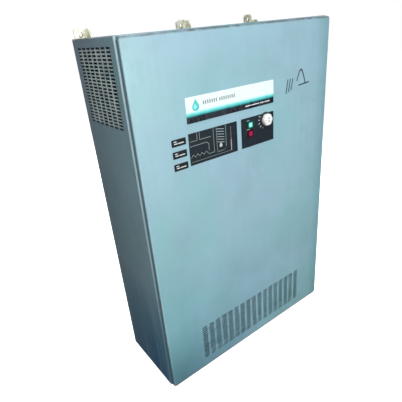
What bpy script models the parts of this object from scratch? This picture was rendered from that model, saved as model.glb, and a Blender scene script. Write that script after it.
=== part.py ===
"""Refrigerated compressed-air dryer in a shallow sheet-steel cabinet.

Metres, +Z up. The origin is the centre of the cabinet's base, the front faces -Y and the back
panel is the wall side, +Y. Every sub-part is one object; what moves has its origin on its axis.
"""
import math

import bmesh
import bpy
from mathutils import Matrix, Vector

# ---- driving dimensions ------------------------------------------------------------------------
WIDTH, DEPTH, HEIGHT = 0.625, 0.2335, 0.916
COVER_WIDTH, COVER_HEIGHT = 0.621, 0.914
SHEET = 0.0015              # sheet thickness of the panels
PAN_SHEET = 0.002           # sheet thickness of the base pan
GAP = 0.0003                # clearance between pieces that touch
COVER_DEPTH = 0.013         # how far the front cover's flange reaches back
COVER_EDGE = 0.004          # bend radius around the cover's front
COVER_CORNER = 0.008        # corner radius of the cover, seen from the front
SEAM = 0.0005               # gap between the cover's flange and the cabinet
SIDE_BEND = 0.008           # bend radius at the front of the side panels
RETURN_WIDTH = 0.022        # width of the flange that the cover closes on
LIP = 0.020                 # height of the turned-up and turned-down lips

FRONT = -DEPTH / 2
BACK = DEPTH / 2
RETURN_Y = FRONT + COVER_DEPTH + SEAM
INNER_X = WIDTH / 2 - SHEET - GAP
INNER_BACK = BACK - SHEET - GAP
TOP_UNDER = HEIGHT - SHEET - GAP

SLOT_HEIGHT = 0.0042
FRONT_SLOTS = dict(columns=17, rows=16, length=0.0178, pitch=0.0241, pitch_z=0.0073,
                   centre=(0.0042, 0.0922))
SIDE_SLOTS = dict(columns=7, rows=23, length=0.0185, pitch=0.0250, pitch_z=0.0072,
                  centre=(0.0065, 0.8158))

PLATE = 0.0008              # thickness of the plates and labels on the cover
PLATE_Y = FRONT - GAP       # rear face of those plates
PLATE_FRONT = PLATE_Y - PLATE
NAMEPLATE = (-0.1801, 0.0914, 0.7257, 0.7821)      # x0, x1, z0, z1
SCHEMATIC = (-0.1810, -0.0366, 0.6295, 0.7038)
CONTROL = (-0.0219, 0.0911, 0.6297, 0.7042)
LABEL_SIZE = (0.0375, 0.0160)
LABEL_X = -0.2071
LABEL_Z = (0.6918, 0.6645, 0.6359)
LAMP_X, LAMP_Z = 0.0064, (0.6859, 0.6638)
LAMP_SIZE, LAMP_RISE = 0.0190, 0.003
SOCKET_RADIUS, LAMP_DEPTH = 0.006, 0.024   # round body behind each lamp's lens
SWITCH = Vector((0.0603, 0.0, 0.6888))
SWITCH_HOLE = 0.005
COLLAR_RADIUS, COLLAR_RISE = 0.0185, 0.0025
KNOB_RADIUS, KNOB_RISE = 0.015, 0.010
KNOB_GROOVE = 0.0035                       # radius of each finger groove in the knob's rim
SHAFT_RADIUS = 0.003

BRACKET_X = (-0.3062, -0.0290, 0.2150)     # left edge of each upright tab
BRACKET_WEB = (0.019, 0.019, 0.006)        # height of each web above the top
TAB_WIDTH, TAB_HEIGHT, TAB_DROP = 0.030, 0.022, 0.032
BRACKET_SHEET, WEB_REACH = 0.003, 0.028
TAB_CORNER = 0.008
EYE_RADIUS, EYE_SLOT, EYE_HEIGHT = 0.004, 0.003, 0.0090    # bolt eye, a short upright slot
NOTCH_GAP = 0.0005                         # room around each tab where it passes the top

STUD_X, STUD_Z = 0.299, (0.100, 0.814)
STUD_RADIUS, STUD_LENGTH = 0.0028, 0.019   # welded studs that plug the cover into the cabinet
STUD_HOLE = 0.0045
PORT_HOLE, GLAND_HOLE = 0.016, 0.0105
DRILL = 0.010                              # length of the drills that go through one sheet

COMPRESSOR = Vector((0.150, 0.030, 0.0))
SHELL_RADIUS = 0.074
FOOT_SPAN = (0.144, 0.104)                 # distance between the foot bolts in x and y
FOOT_Z = 0.0225
ACCUMULATOR = Vector((0.262, 0.045, 0.0))
DRIER = Vector((0.020, 0.075, 0.235))
BYPASS_VALVE = Vector((0.060, 0.097, 0.300))

COIL_HALF, COIL_Y, COIL_DEPTH = 0.185, -0.079, 0.038
COIL_Z = (0.030, 0.148)
ROW_Z = [0.045 + 0.018 * i for i in range(6)]
COIL_TUBE = 0.004
COIL_END = COIL_HALF + 0.001               # outer face of the condenser's end plates

EXCHANGER = Vector((-0.170, 0.045, 0.0))
VESSEL_RADIUS = 0.045
VESSEL_Z = (0.232, 0.650)
JACKET_RADIUS, JACKET_Z = 0.058, (0.262, 0.620)
CLAMP_Z = (0.330, 0.545)
HELIX_RADIUS, HELIX_TUBE = 0.030, 0.005
AIR_PIPE = 0.011
INLET_X, INLET_Z = -0.190, 0.725
OUTLET_X, OUTLET_Z = -0.150, 0.668
PORT_Y = EXCHANGER.y

DRAIN_Z = 0.068                            # height of the drain cock's spindle
DRAIN_HOLE = 0.0050

FAN = Vector((-INNER_X, *SIDE_SLOTS["centre"]))      # centre of the fan housing's outer face
FAN_SIZE, FAN_DEPTH, FAN_BORE = 0.172, 0.038, 0.078
BLADES = 5

BOX = (0.080, 0.270, 0.060, INNER_BACK, 0.430, 0.590)   # wiring box: x0, x1, y0, y1, z0, z1
GLAND = (0.088, 0.510)                     # y, z of the cable gland

# ---- scene -------------------------------------------------------------------------------------
for old in list(bpy.data.objects):
    bpy.data.objects.remove(old, do_unlink=True)

PARTS = bpy.data.collections.new("refrigerated_air_dryer")
CUTTERS = bpy.data.collections.new("cutters")
for collection in (PARTS, CUTTERS):
    bpy.context.scene.collection.children.link(collection)

FLAT = Matrix.Identity(3)
FACING = Matrix(((1, 0, 0), (0, 0, -1), (0, 1, 0)))      # local Z points at the front, -Y
SIDEWAYS = Matrix(((0, 0, 1), (1, 0, 0), (0, 1, 0)))     # local Z points along +X


def material(name, colour, roughness, metallic=0.0):
    """A plain Principled material."""
    made = bpy.data.materials.new(name)
    made.use_nodes = True
    shader = made.node_tree.nodes["Principled BSDF"]
    shader.inputs["Base Color"].default_value = (*colour, 1.0)
    shader.inputs["Roughness"].default_value = roughness
    shader.inputs["Metallic"].default_value = metallic
    return made


BLUE_PAINT = (0.30, 0.46, 0.52)
SIDE_PAINT = (0.27, 0.40, 0.45)
BLACK = (0.02, 0.022, 0.025)
COPPER = (0.72, 0.36, 0.20)
BRASS = (0.75, 0.58, 0.28)
STEEL = (0.55, 0.56, 0.57)


# ---- building blocks ---------------------------------------------------------------------------
def link(name, mesh, look, place=None, turn=FLAT, cutter=False):
    """An object from a mesh: a part with its material, or a hidden cutter."""
    item = bpy.data.objects.new(name, mesh)
    item.matrix_world = Matrix.Translation(place or Vector()) @ turn.to_4x4()
    (CUTTERS if cutter else PARTS).objects.link(item)
    if cutter:
        item.hide_render = True
        item.display_type = "WIRE"
    else:
        mesh.materials.append(material(name, *look))
    return item


def boxes(spans):
    """One mesh of separate boxes, each given as x0, x1, y0, y1, z0, z1."""
    bm = bmesh.new()
    for x0, x1, y0, y1, z0, z1 in spans:
        size = Matrix.Diagonal((x1 - x0, y1 - y0, z1 - z0, 1.0))
        middle = Matrix.Translation(((x0 + x1) / 2, (y0 + y1) / 2, (z0 + z1) / 2))
        bmesh.ops.create_cube(bm, size=1.0, matrix=middle @ size)
    mesh = bpy.data.meshes.new("boxes")
    bm.to_mesh(mesh)
    bm.free()
    return mesh


def cylinders(places, radius, length, turn=FLAT, sides=16):
    """One mesh of separate cylinders, each centred on its place and standing along local Z."""
    bm = bmesh.new()
    for place in places:
        bmesh.ops.create_cone(bm, cap_ends=True, segments=sides, radius1=radius, radius2=radius,
                              depth=length, matrix=Matrix.Translation(place) @ turn.to_4x4())
    mesh = bpy.data.meshes.new("cylinders")
    bm.to_mesh(mesh)
    bm.free()
    return mesh


def box(name, span, look, bevel=0.0):
    """A box, with its edges rounded if asked."""
    item = link(name, boxes([span]), look)
    if bevel:
        round_edges(item, bevel)
    return item


def round_edges(item, width, segments=2):
    edge = item.modifiers.new("edges", "BEVEL")
    edge.width = width
    edge.segments = segments
    edge.limit_method = "ANGLE"
    edge.angle_limit = math.radians(60)


def combine(item, mesh, operation):
    """Adds or takes away a mesh with a Boolean on a hidden cutter."""
    tool = link(f"{item.name}_{operation.lower()}", mesh, None, cutter=True)
    step = item.modifiers.new(operation.lower(), "BOOLEAN")
    step.operation = operation
    step.solver = "EXACT"
    step.object = tool
    return item


def cut(item, mesh):
    return combine(item, mesh, "DIFFERENCE")


def join(item, mesh):
    return combine(item, mesh, "UNION")


def turned(name, profile, look, place, turn=FLAT, steps=16, ring=False):
    """A turned piece: (radius, height) points down its outer side, closed into a ring if asked."""
    bm = bmesh.new()
    points = [bm.verts.new((radius, 0.0, height)) for radius, height in profile]
    for a, b in zip(points, points[1:] + (points[:1] if ring else [])):
        bm.edges.new((a, b))
    mesh = bpy.data.meshes.new(name)
    bm.to_mesh(mesh)
    bm.free()
    item = link(name, mesh, look, place, turn)
    screw = item.modifiers.new("turn", "SCREW")
    screw.steps = screw.render_steps = steps
    screw.use_merge_vertices = True
    screw.merge_threshold = 0.0001
    return item


def evaluated_mesh(item):
    """The item's finished mesh with its loose caps welded; the item itself is removed."""
    graph = bpy.context.evaluated_depsgraph_get()
    mesh = bpy.data.meshes.new_from_object(item.evaluated_get(graph))
    place = item.matrix_world.copy()
    bm = bmesh.new()
    bm.from_mesh(mesh)
    bmesh.ops.remove_doubles(bm, verts=bm.verts, dist=0.00001)
    bm.to_mesh(mesh)
    bm.free()
    mesh.materials.clear()
    bpy.data.objects.remove(item, do_unlink=True)
    return mesh, place


def circle(x, y, radius, sides=16):
    """A circle's outline."""
    turn = 2 * math.pi / sides
    return [(x + radius * math.cos(turn * i), y + radius * math.sin(turn * i)) for i in range(sides)]


def rounded(x0, x1, y0, y1, radius, steps=3):
    """A rectangle's outline with round corners."""
    outline = []
    corners = ((x1, y1, 0), (x0, y1, 90), (x0, y0, 180), (x1, y0, 270))
    for x, y, start in corners:
        cx = x - math.copysign(radius, x - (x0 + x1) / 2)
        cy = y - math.copysign(radius, y - (y0 + y1) / 2)
        for i in range(steps + 1):
            angle = math.radians(start + 90 * i / steps)
            outline.append((cx + radius * math.cos(angle), cy + radius * math.sin(angle)))
    return outline


def flat_mesh(loops, thickness):
    """A flat plate's mesh from its outline and its holes, centred on its own plane."""
    curve = bpy.data.curves.new("outline", "CURVE")
    curve.dimensions = "2D"
    curve.fill_mode = "BOTH"
    curve.extrude = thickness / 2
    for loop in loops:
        spline = curve.splines.new("POLY")
        spline.points.add(len(loop) - 1)
        for point, (x, y) in zip(spline.points, loop):
            point.co = (x, y, 0.0, 1.0)
        spline.use_cyclic_u = True
    item = bpy.data.objects.new("outline", curve)
    PARTS.objects.link(item)
    return evaluated_mesh(item)[0]


def plate(name, loops, thickness, look, place, turn):
    """A flat plate cut to an outline, with holes."""
    return link(name, flat_mesh(loops, thickness), look, place, turn)


def route(corners, bend, steps=3):
    """The points of a bent tube: straight runs with a round bend at each inner corner."""
    points = [Vector(corners[0])]
    for before, corner, after in zip(corners, corners[1:], corners[2:]):
        before, corner, after = Vector(before), Vector(corner), Vector(after)
        inward, outward = (before - corner).normalized(), (after - corner).normalized()
        half = inward.angle(outward) / 2
        reach = bend / math.tan(half)
        centre = corner + (inward + outward).normalized() * (bend / math.sin(half))
        start = (corner + inward * reach - centre).normalized()
        end = (corner + outward * reach - centre).normalized()
        points += [centre + start.slerp(end, i / steps) * bend for i in range(steps + 1)]
    return points + [Vector(corners[-1])]


def tube(name, points, radius, look):
    """A round tube along the points, as a bevelled curve with filled caps."""
    curve = bpy.data.curves.new(name, "CURVE")
    curve.dimensions = "3D"
    curve.bevel_depth = radius
    curve.bevel_resolution = 2
    curve.use_fill_caps = True
    spline = curve.splines.new("POLY")
    spline.points.add(len(points) - 1)
    for point, place in zip(spline.points, points):
        point.co = (*place, 1.0)
    item = bpy.data.objects.new(name, curve)
    curve.materials.append(material(name, *look))
    PARTS.objects.link(item)
    return item


def fold(item, thickness, offset):
    """Gives a folded surface its sheet thickness."""
    skin = item.modifiers.new("sheet", "SOLIDIFY")
    skin.thickness = thickness
    skin.offset = offset
    skin.use_even_offset = True


def bent_sheet(name, path, axis, low, high, thickness, look):
    """Sheet bent along a path of (a, b) points and run straight along an axis, 'X' or 'Z'."""
    starts = [(*point, low) if axis == "Z" else (low, *point) for point in path]
    run = Vector((0.0, 0.0, high - low)) if axis == "Z" else Vector((high - low, 0.0, 0.0))
    bm = bmesh.new()
    verts = [bm.verts.new(start) for start in starts]
    edges = [bm.edges.new(pair) for pair in zip(verts, verts[1:])]
    grown = bmesh.ops.extrude_edge_only(bm, edges=edges)["geom"]
    bmesh.ops.translate(bm, vec=run, verts=[v for v in grown if isinstance(v, bmesh.types.BMVert)])
    mesh = bpy.data.meshes.new(name)
    bm.to_mesh(mesh)
    bm.free()
    item = link(name, mesh, look)
    fold(item, thickness, 1.0)
    return item


def arc(cx, cy, radius, start, end, steps=4):
    """Points along an arc, from one angle to another in degrees."""
    angles = [math.radians(start + (end - start) * i / steps) for i in range(steps + 1)]
    return [(cx + radius * math.cos(a), cy + radius * math.sin(a)) for a in angles]


def slot_spans(field, low, high, along):
    """Boxes that cut a field of short slots through a panel between two depths."""
    spans = []
    for column in range(field["columns"]):
        middle = field["centre"][0] + (column - (field["columns"] - 1) / 2) * field["pitch"]
        for row in range(field["rows"]):
            z = field["centre"][1] + (row - (field["rows"] - 1) / 2) * field["pitch_z"]
            a, b = middle - field["length"] / 2, middle + field["length"] / 2
            flat = (a, b, low, high) if along == "X" else (low, high, a, b)
            spans.append((*flat, z - SLOT_HEIGHT / 2, z + SLOT_HEIGHT / 2))
    return spans


# ---- cabinet -----------------------------------------------------------------------------------
def side_panel(name, sign):
    """A side of the cabinet, bent round at the front into the flange that the cover closes on."""
    edge = sign * WIDTH / 2
    bend = arc(edge - sign * SIDE_BEND, RETURN_Y + SIDE_BEND, SIDE_BEND, 270, 270 + sign * 90)
    path = [(edge - sign * RETURN_WIDTH, RETURN_Y)] + bend + [(edge, BACK)]
    panel = bent_sheet(name, path[::sign], "Z", 0.0, TOP_UNDER, SHEET, (SIDE_PAINT, 0.45))
    holes = [Vector((sign * STUD_X, RETURN_Y, z)) for z in STUD_Z]
    return cut(panel, cylinders(holes, STUD_HOLE, DRILL, FACING, 12))


def vented_side_panel():
    panel = side_panel("left_side_panel", -1)
    outside = -WIDTH / 2
    cut(panel, boxes(slot_spans(SIDE_SLOTS, outside - DRILL / 2, outside + DRILL / 2, "Y")))


def port_side_panel():
    panel = side_panel("right_side_panel", 1)
    ports = [Vector((WIDTH / 2, PORT_Y, z)) for z in (INLET_Z, OUTLET_Z)]
    cut(panel, cylinders(ports, PORT_HOLE, DRILL, SIDEWAYS))
    cut(panel, cylinders([Vector((WIDTH / 2, *GLAND))], GLAND_HOLE, DRILL, SIDEWAYS))


def top_panel():
    """The flat top, with a lip behind the cover and a notch for each hanging bracket."""
    half, bend = WIDTH / 2, SIDE_BEND
    outline = [(half, BACK), (-half, BACK)]
    outline += arc(-half + bend, RETURN_Y + bend, bend, 180, 270)
    outline += arc(half - bend, RETURN_Y + bend, bend, 270, 360)
    middle = Vector((0.0, 0.0, HEIGHT - SHEET / 2))
    panel = plate("top_panel", [outline], SHEET, (BLUE_PAINT, 0.45), middle, FLAT)
    lip = half - RETURN_WIDTH - GAP
    join(panel, boxes([(-lip, lip, RETURN_Y, RETURN_Y + SHEET, HEIGHT - LIP, HEIGHT - SHEET / 2)]))
    notches = [(x - NOTCH_GAP, x + TAB_WIDTH + NOTCH_GAP, INNER_BACK - BRACKET_SHEET - NOTCH_GAP,
                INNER_BACK + NOTCH_GAP, HEIGHT - DRILL, HEIGHT + DRILL) for x in BRACKET_X]
    cut(panel, boxes(notches))


def back_panel():
    span = (-INNER_X, INNER_X, BACK - SHEET, BACK, GAP, TOP_UNDER)
    box("back_panel", span, (SIDE_PAINT, 0.5))


def base_pan():
    """The floor of the cabinet, with a lip in front and behind and a hole for the drain tube."""
    rear = INNER_BACK
    path = [(RETURN_Y, LIP), (RETURN_Y, 0.0), (rear, 0.0), (rear, LIP)]
    pan = bent_sheet("base_pan", path, "X", -INNER_X, INNER_X, PAN_SHEET, (SIDE_PAINT, 0.5))
    inner = WIDTH / 2 - RETURN_WIDTH - GAP
    corners = [(min(s * inner, s * WIDTH), max(s * inner, s * WIDTH), RETURN_Y - DRILL,
                RETURN_Y + SIDE_BEND + 0.001, -DRILL, LIP + DRILL) for s in (-1, 1)]
    cut(pan, boxes(corners))
    drain = [Vector((EXCHANGER.x, EXCHANGER.y, 0.0))]
    cut(pan, cylinders(drain, DRAIN_HOLE, DRILL, sides=12))


def hanging_bracket(name, left, web_height):
    """An upright tab with a bolt eye, and a web that runs forward over the top of the cabinet."""
    rear = INNER_BACK
    tab = rounded(left, left + TAB_WIDTH, HEIGHT - TAB_DROP, HEIGHT + TAB_HEIGHT, TAB_CORNER)
    eye_x, eye_z = left + TAB_WIDTH / 2, HEIGHT + EYE_HEIGHT
    eye = (arc(eye_x, eye_z + EYE_SLOT / 2, EYE_RADIUS, 0, 180, 5)
           + arc(eye_x, eye_z - EYE_SLOT / 2, EYE_RADIUS, 180, 360, 5))
    middle = Vector((0.0, rear - BRACKET_SHEET / 2, 0.0))
    bracket = plate(name, [tab, eye], BRACKET_SHEET, ((0.78, 0.72, 0.42), 0.35, 0.7),
                    middle, FACING)
    low, front = HEIGHT + GAP, rear - WEB_REACH
    slope = web_height / 2
    web = [(rear - 0.001, low), (rear - 0.001, low + web_height), (front + slope, low + web_height),
           (front, low + 0.003), (front, low)]
    mesh = flat_mesh([web], BRACKET_SHEET)
    x = left + TAB_WIDTH - BRACKET_SHEET / 2
    mesh.transform(Matrix.Translation((x, 0.0, 0.0)) @ SIDEWAYS.to_4x4())
    join(bracket, mesh)


def hanging_brackets():
    for side, left, web in zip(("left", "centre", "right"), BRACKET_X, BRACKET_WEB):
        hanging_bracket(f"hanging_bracket_{side}", left, web)


# ---- front cover and what rides on it ----------------------------------------------------------
def front_cover():
    """A shallow tray with round edges, a field of slots, and studs on its inner face."""
    bm = bmesh.new()
    size = Matrix.Diagonal((COVER_WIDTH, COVER_DEPTH, COVER_HEIGHT, 1.0))
    middle = Matrix.Translation((0.0, FRONT + COVER_DEPTH / 2, COVER_HEIGHT / 2))
    bmesh.ops.create_cube(bm, size=1.0, matrix=middle @ size)
    corners = [e for e in bm.edges if abs(e.verts[0].co.y - e.verts[1].co.y) > COVER_DEPTH / 2]
    bmesh.ops.bevel(bm, geom=corners, offset=COVER_CORNER, segments=3, profile=0.5, affect="EDGES")
    rim = [e for e in bm.edges if all(abs(v.co.y - FRONT) < 1e-6 for v in e.verts)]
    bmesh.ops.bevel(bm, geom=rim, offset=COVER_EDGE, segments=3, profile=0.5, affect="EDGES")
    rear = [f for f in bm.faces if all(abs(v.co.y - FRONT - COVER_DEPTH) < 1e-6 for v in f.verts)]
    bmesh.ops.delete(bm, geom=rear, context="FACES_ONLY")
    mesh = bpy.data.meshes.new("front_cover")
    bm.to_mesh(mesh)
    bm.free()
    cover = link("front_cover", mesh, (BLUE_PAINT, 0.4))
    fold(cover, SHEET, -1.0)
    cut(cover, boxes(slot_spans(FRONT_SLOTS, FRONT - DRILL / 2, FRONT + DRILL / 2, "X")))
    sockets = [Vector((LAMP_X, FRONT, z)) for z in LAMP_Z]
    cut(cover, cylinders(sockets, SOCKET_RADIUS + GAP, DRILL, FACING, 12))
    cut(cover, cylinders([SWITCH + Vector((0.0, FRONT, 0.0))], SWITCH_HOLE, DRILL, FACING, 12))
    studs = [Vector((sign * STUD_X, FRONT + SHEET / 2 + STUD_LENGTH / 2, z))
             for sign in (-1, 1) for z in STUD_Z]
    join(cover, cylinders(studs, STUD_RADIUS, STUD_LENGTH, FACING, 10))


def front_plate(name, span, look, holes=(), corner=0.0015):
    """A thin plate on the cover's face, from its x0, x1, z0, z1."""
    loops = [rounded(*span, corner, 2)] + list(holes)
    plate(name, loops, PLATE, look, Vector((0.0, PLATE_Y - PLATE / 2, 0.0)), FACING)


def plates_and_labels():
    """The plates on the cover: nameplate, flow diagram, control plate and three labels."""
    front_plate("nameplate", NAMEPLATE, ((0.85, 0.93, 0.93), 0.35))
    front_plate("flow_diagram_plate", SCHEMATIC, (BLACK, 0.4))
    holes = [circle(LAMP_X, z, SOCKET_RADIUS + GAP, 12) for z in LAMP_Z]
    holes.append(circle(SWITCH.x, SWITCH.z, SWITCH_HOLE, 12))
    front_plate("control_plate", CONTROL, (BLACK, 0.4), holes)
    half_x, half_z = LABEL_SIZE[0] / 2, LABEL_SIZE[1] / 2
    for place, z in zip(("upper", "middle", "lower"), LABEL_Z):
        span = (LABEL_X - half_x, LABEL_X + half_x, z - half_z, z + half_z)
        front_plate(f"small_label_{place}", span, (BLACK, 0.4), corner=0.001)


def lamps():
    """Each lamp is a square lens with a round body that goes through the plate and the cover."""
    looks = {"green": (0.05, 0.55, 0.38), "red": (0.45, 0.03, 0.08)}
    for (colour, tint), z in zip(looks.items(), LAMP_Z):
        half = LAMP_SIZE / 2
        rear = PLATE_FRONT - GAP
        lamp = box(f"{colour}_indicator_lamp", (LAMP_X - half, LAMP_X + half, rear - LAMP_RISE, rear,
                                                z - half, z + half), (tint, 0.15))
        round_edges(lamp, 0.0012)
        body = Vector((LAMP_X, rear + LAMP_DEPTH / 2 - 0.002, z))
        join(lamp, cylinders([body], SOCKET_RADIUS, LAMP_DEPTH, FACING, 12))


def rotary_switch():
    """The collar and the body that hold the switch, and the knob whose shaft joins them."""
    base = PLATE_FRONT - GAP
    face = base - COLLAR_RISE
    rim = COLLAR_RADIUS - 0.001
    bore = SWITCH_HOLE - 0.0005
    turned("switch_collar", [(rim, COLLAR_RISE), (COLLAR_RADIUS, COLLAR_RISE - 0.001),
           (COLLAR_RADIUS, 0.0), (bore, 0.0), (bore, COLLAR_RISE)], (BLACK, 0.45),
           SWITCH + Vector((0.0, base, 0.0)), FACING, 24, ring=True)
    half = 0.018
    inside = FRONT + SHEET + GAP
    body = box("switch_body", (SWITCH.x - half, SWITCH.x + half, inside, inside + 0.040,
                               SWITCH.z - half, SWITCH.z + half), ((0.75, 0.75, 0.72), 0.5))
    cut(body, cylinders([SWITCH + Vector((0.0, inside, 0.0))], SHAFT_RADIUS + 0.0005, 0.030,
                        FACING, 12))
    foot = SWITCH + Vector((0.0, face - GAP, 0.0))
    knob = turned("switch_knob", [(0, KNOB_RISE), (KNOB_RADIUS - 0.0015, KNOB_RISE),
                  (KNOB_RADIUS, KNOB_RISE - 0.0015), (KNOB_RADIUS, 0.0), (0, 0.0)],
                  ((0.88, 0.88, 0.86), 0.4), foot, FACING, 24)
    grip = KNOB_RADIUS + 0.35 * KNOB_GROOVE
    grips = [foot + Vector((grip * math.cos(a), -KNOB_RISE / 2, grip * math.sin(a)))
             for a in (math.radians(30 + 60 * i) for i in range(6))]
    cut(knob, cylinders(grips, KNOB_GROOVE, KNOB_RISE + DRILL, FACING, 10))
    shaft_end = inside + 0.010
    shaft = SWITCH + Vector((0.0, (foot.y + shaft_end - 0.001) / 2, 0.0))
    join(knob, cylinders([shaft], SHAFT_RADIUS, shaft_end - foot.y + 0.001, FACING, 12))


# ---- refrigeration -----------------------------------------------------------------------------
def compressor():
    """A hermetic shell on a foot plate, four rubber mounts and a terminal cover."""
    r = SHELL_RADIUS
    turned("compressor_shell", [(0, 0.215), (0.030, 0.2135), (0.055, 0.206), (0.070, 0.190),
           (r, 0.172), (r, 0.1225), (r + 0.004, 0.121), (r + 0.004, 0.117), (r, 0.1155),
           (r, 0.060), (0.066, 0.040), (0.048, 0.029), (0, 0.0262)], ((0.03, 0.03, 0.032), 0.35),
           COMPRESSOR, steps=24)
    half_x, half_y = FOOT_SPAN[0] / 2, FOOT_SPAN[1] / 2
    holes = [(COMPRESSOR.x + sx * half_x, COMPRESSOR.y + sy * half_y)
             for sx in (-1, 1) for sy in (-1, 1)]
    outline = rounded(COMPRESSOR.x - half_x - 0.013, COMPRESSOR.x + half_x + 0.013,
                      COMPRESSOR.y - half_y - 0.013, COMPRESSOR.y + half_y + 0.013, 0.012)
    plate("compressor_foot_plate", [outline] + [circle(x, y, 0.0048, 10) for x, y in holes], 0.003,
          ((0.03, 0.03, 0.032), 0.45), Vector((0.0, 0.0, FOOT_Z + 0.0015)), FLAT)
    for number, (x, y) in enumerate(holes, 1):
        turned(f"compressor_rubber_mount_{number}", [
               (0.0085, FOOT_Z + 0.010), (0.0085, FOOT_Z + 0.003 + GAP),
               (0.0043, FOOT_Z + 0.003 + GAP), (0.0043, FOOT_Z - GAP), (0.011, FOOT_Z - GAP),
               (0.011, PAN_SHEET + GAP), (0.0030, PAN_SHEET + GAP), (0.0030, FOOT_Z + 0.010)],
               ((0.015, 0.015, 0.015), 0.8), Vector((x, y, 0.0)), steps=8, ring=True)
    box("compressor_terminal_cover", (0.044, COMPRESSOR.x - SHELL_RADIUS - 0.0045, 0.006, 0.054,
                                      0.128, 0.170), ((0.03, 0.03, 0.03), 0.5), 0.003)


def accumulator_and_drier():
    """The suction accumulator with its outlet tube, and the filter drier."""
    flask = turned("suction_accumulator", [(0, 0.195), (0.012, 0.193), (0.021, 0.183), (0.021, 0.088),
                   (0.012, 0.077), (0, 0.075)], ((0.03, 0.03, 0.032), 0.4), ACCUMULATOR)
    start, end = 0.2245, ACCUMULATOR.x - 0.015
    outlet = Vector(((start + end) / 2, ACCUMULATOR.y, 0.100))
    join(flask, cylinders([outlet], HELIX_TUBE, end - start, SIDEWAYS, 8))
    turned("filter_drier", [(0, 0.100), (0.005, 0.100), (0.005, 0.090), (0.012, 0.080),
           (0.012, 0.020), (0.005, 0.010), (0.005, 0.0), (0, 0.0)], (COPPER, 0.3, 1.0), DRIER, steps=12)


def condenser():
    """A fin block between two end plates, threaded by one serpentine tube."""
    front, rear = COIL_Y - COIL_DEPTH / 2, COIL_Y + COIL_DEPTH / 2
    core = box("condenser_core", (-COIL_HALF, COIL_HALF, front, rear, *COIL_Z),
               ((0.6, 0.62, 0.64), 0.4, 1.0))
    ends = [(*x, front - 0.002, rear + 0.002, PAN_SHEET + GAP, COIL_Z[1] + 0.004)
            for x in ((-COIL_END, -COIL_END + SHEET), (COIL_END - SHEET, COIL_END))]
    join(core, boxes(ends))
    rows = [Vector((0.0, COIL_Y, z)) for z in ROW_Z]
    cut(core, cylinders(rows, COIL_TUBE + 2 * GAP, 2 * COIL_END + 0.010, SIDEWAYS, 10))
    reach = COIL_END + 0.004
    points = []
    for row, z in enumerate(ROW_Z):
        sign = 1 if row % 2 == 0 else -1
        points += [(-sign * reach, z), (sign * reach, z)]
        if row + 1 < len(ROW_Z):
            half = (ROW_Z[row + 1] - z) / 2
            points += [(sign * (reach + x), y) for x, y in arc(0.0, z + half, half, -90, 90, 5)[1:-1]]
    tube("condenser_tube", [(x, COIL_Y, z) for x, z in points], COIL_TUBE, (COPPER, 0.3, 1.0))


def refrigerant_lines():
    """Discharge, liquid, capillary and suction lines, each stopping short of what it serves."""
    look = (COPPER, 0.3, 1.0)
    end = COIL_END + 0.004 + GAP
    x, y = COMPRESSOR.x - 0.040, COMPRESSOR.y
    tube("discharge_line", route([(x, y, 0.2125), (x, y, 0.250), (x, -0.035, 0.250),
         (-0.222, -0.035, 0.250), (-0.222, COIL_Y, 0.250), (-0.222, COIL_Y, ROW_Z[-1]),
         (-end, COIL_Y, ROW_Z[-1])], 0.012), 0.004, look)
    tube("liquid_line", route([(-end, COIL_Y, ROW_Z[0]), (-0.218, COIL_Y, ROW_Z[0]),
         (-0.218, -0.045, ROW_Z[0]), (DRIER.x, -0.045, ROW_Z[0]), (DRIER.x, DRIER.y, ROW_Z[0]),
         (DRIER.x, DRIER.y, DRIER.z - GAP)], 0.012), 0.004, look)
    capillary_tube(look)
    top = VESSEL_Z[1] + 0.012
    sx, sy = EXCHANGER.x, EXCHANGER.y + HELIX_RADIUS
    tube("suction_line", route([(sx, sy, top + GAP), (sx, sy, 0.690), (0.285, sy, 0.690),
         (0.285, sy, 0.232), (ACCUMULATOR.x, ACCUMULATOR.y, 0.232),
         (ACCUMULATOR.x, ACCUMULATOR.y, 0.1953)], 0.014), HELIX_TUBE, look)


def bypass_valve():
    """The valve body with the two tubes that are brazed into it."""
    valve = turned("hot_gas_bypass_valve", [(0, 0.074), (0.008, 0.074), (0.0095, 0.070),
                   (0.0095, 0.048), (0.016, 0.044), (0.016, 0.004), (0.010, 0.0), (0, 0.0)],
                   (BRASS, 0.3, 1.0), BYPASS_VALVE)
    x, y, z = BYPASS_VALVE
    inlet = route([(x, -0.035 + 0.0044, 0.250), (x, y, 0.250), (x, y, z + 0.004)], 0.012)
    outlet = route([(x - 0.010, y, z + 0.020), (-0.070, y, z + 0.020), (-0.070, y, 0.240),
                    (-0.070, EXCHANGER.y, 0.240), (-0.070, EXCHANGER.y, 0.2174)], 0.012)
    for points in (inlet, outlet):
        join(valve, evaluated_mesh(tube("bypass_tube", points, 0.004, (BRASS, 0.3, 1.0)))[0])


def capillary_tube(look):
    """A few turns of fine tube between the drier and the evaporator's lower stub."""
    start = DRIER + Vector((0.0, 0.0, 0.1003))
    radius, turns, per_turn = 0.020, 2.5, 6
    centre = start + Vector((-radius, 0.0, 0.025))
    coil = [centre + Vector((radius * math.cos(2 * math.pi * i / per_turn),
                             radius * math.sin(2 * math.pi * i / per_turn), 0.006 * i / per_turn))
            for i in range(int(turns * per_turn) + 1)]
    last = coil[-1]
    ex, ey = EXCHANGER.x + HELIX_RADIUS, EXCHANGER.y
    tail = route([last, (-0.045, last.y, last.z), (-0.045, last.y, 0.215), (-0.045, ey, 0.215),
                  (ex, ey, 0.215), (ex, ey, 0.2257)], 0.006)
    tube("capillary_tube", [start] + coil[:-1] + tail, 0.002, look)


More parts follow.
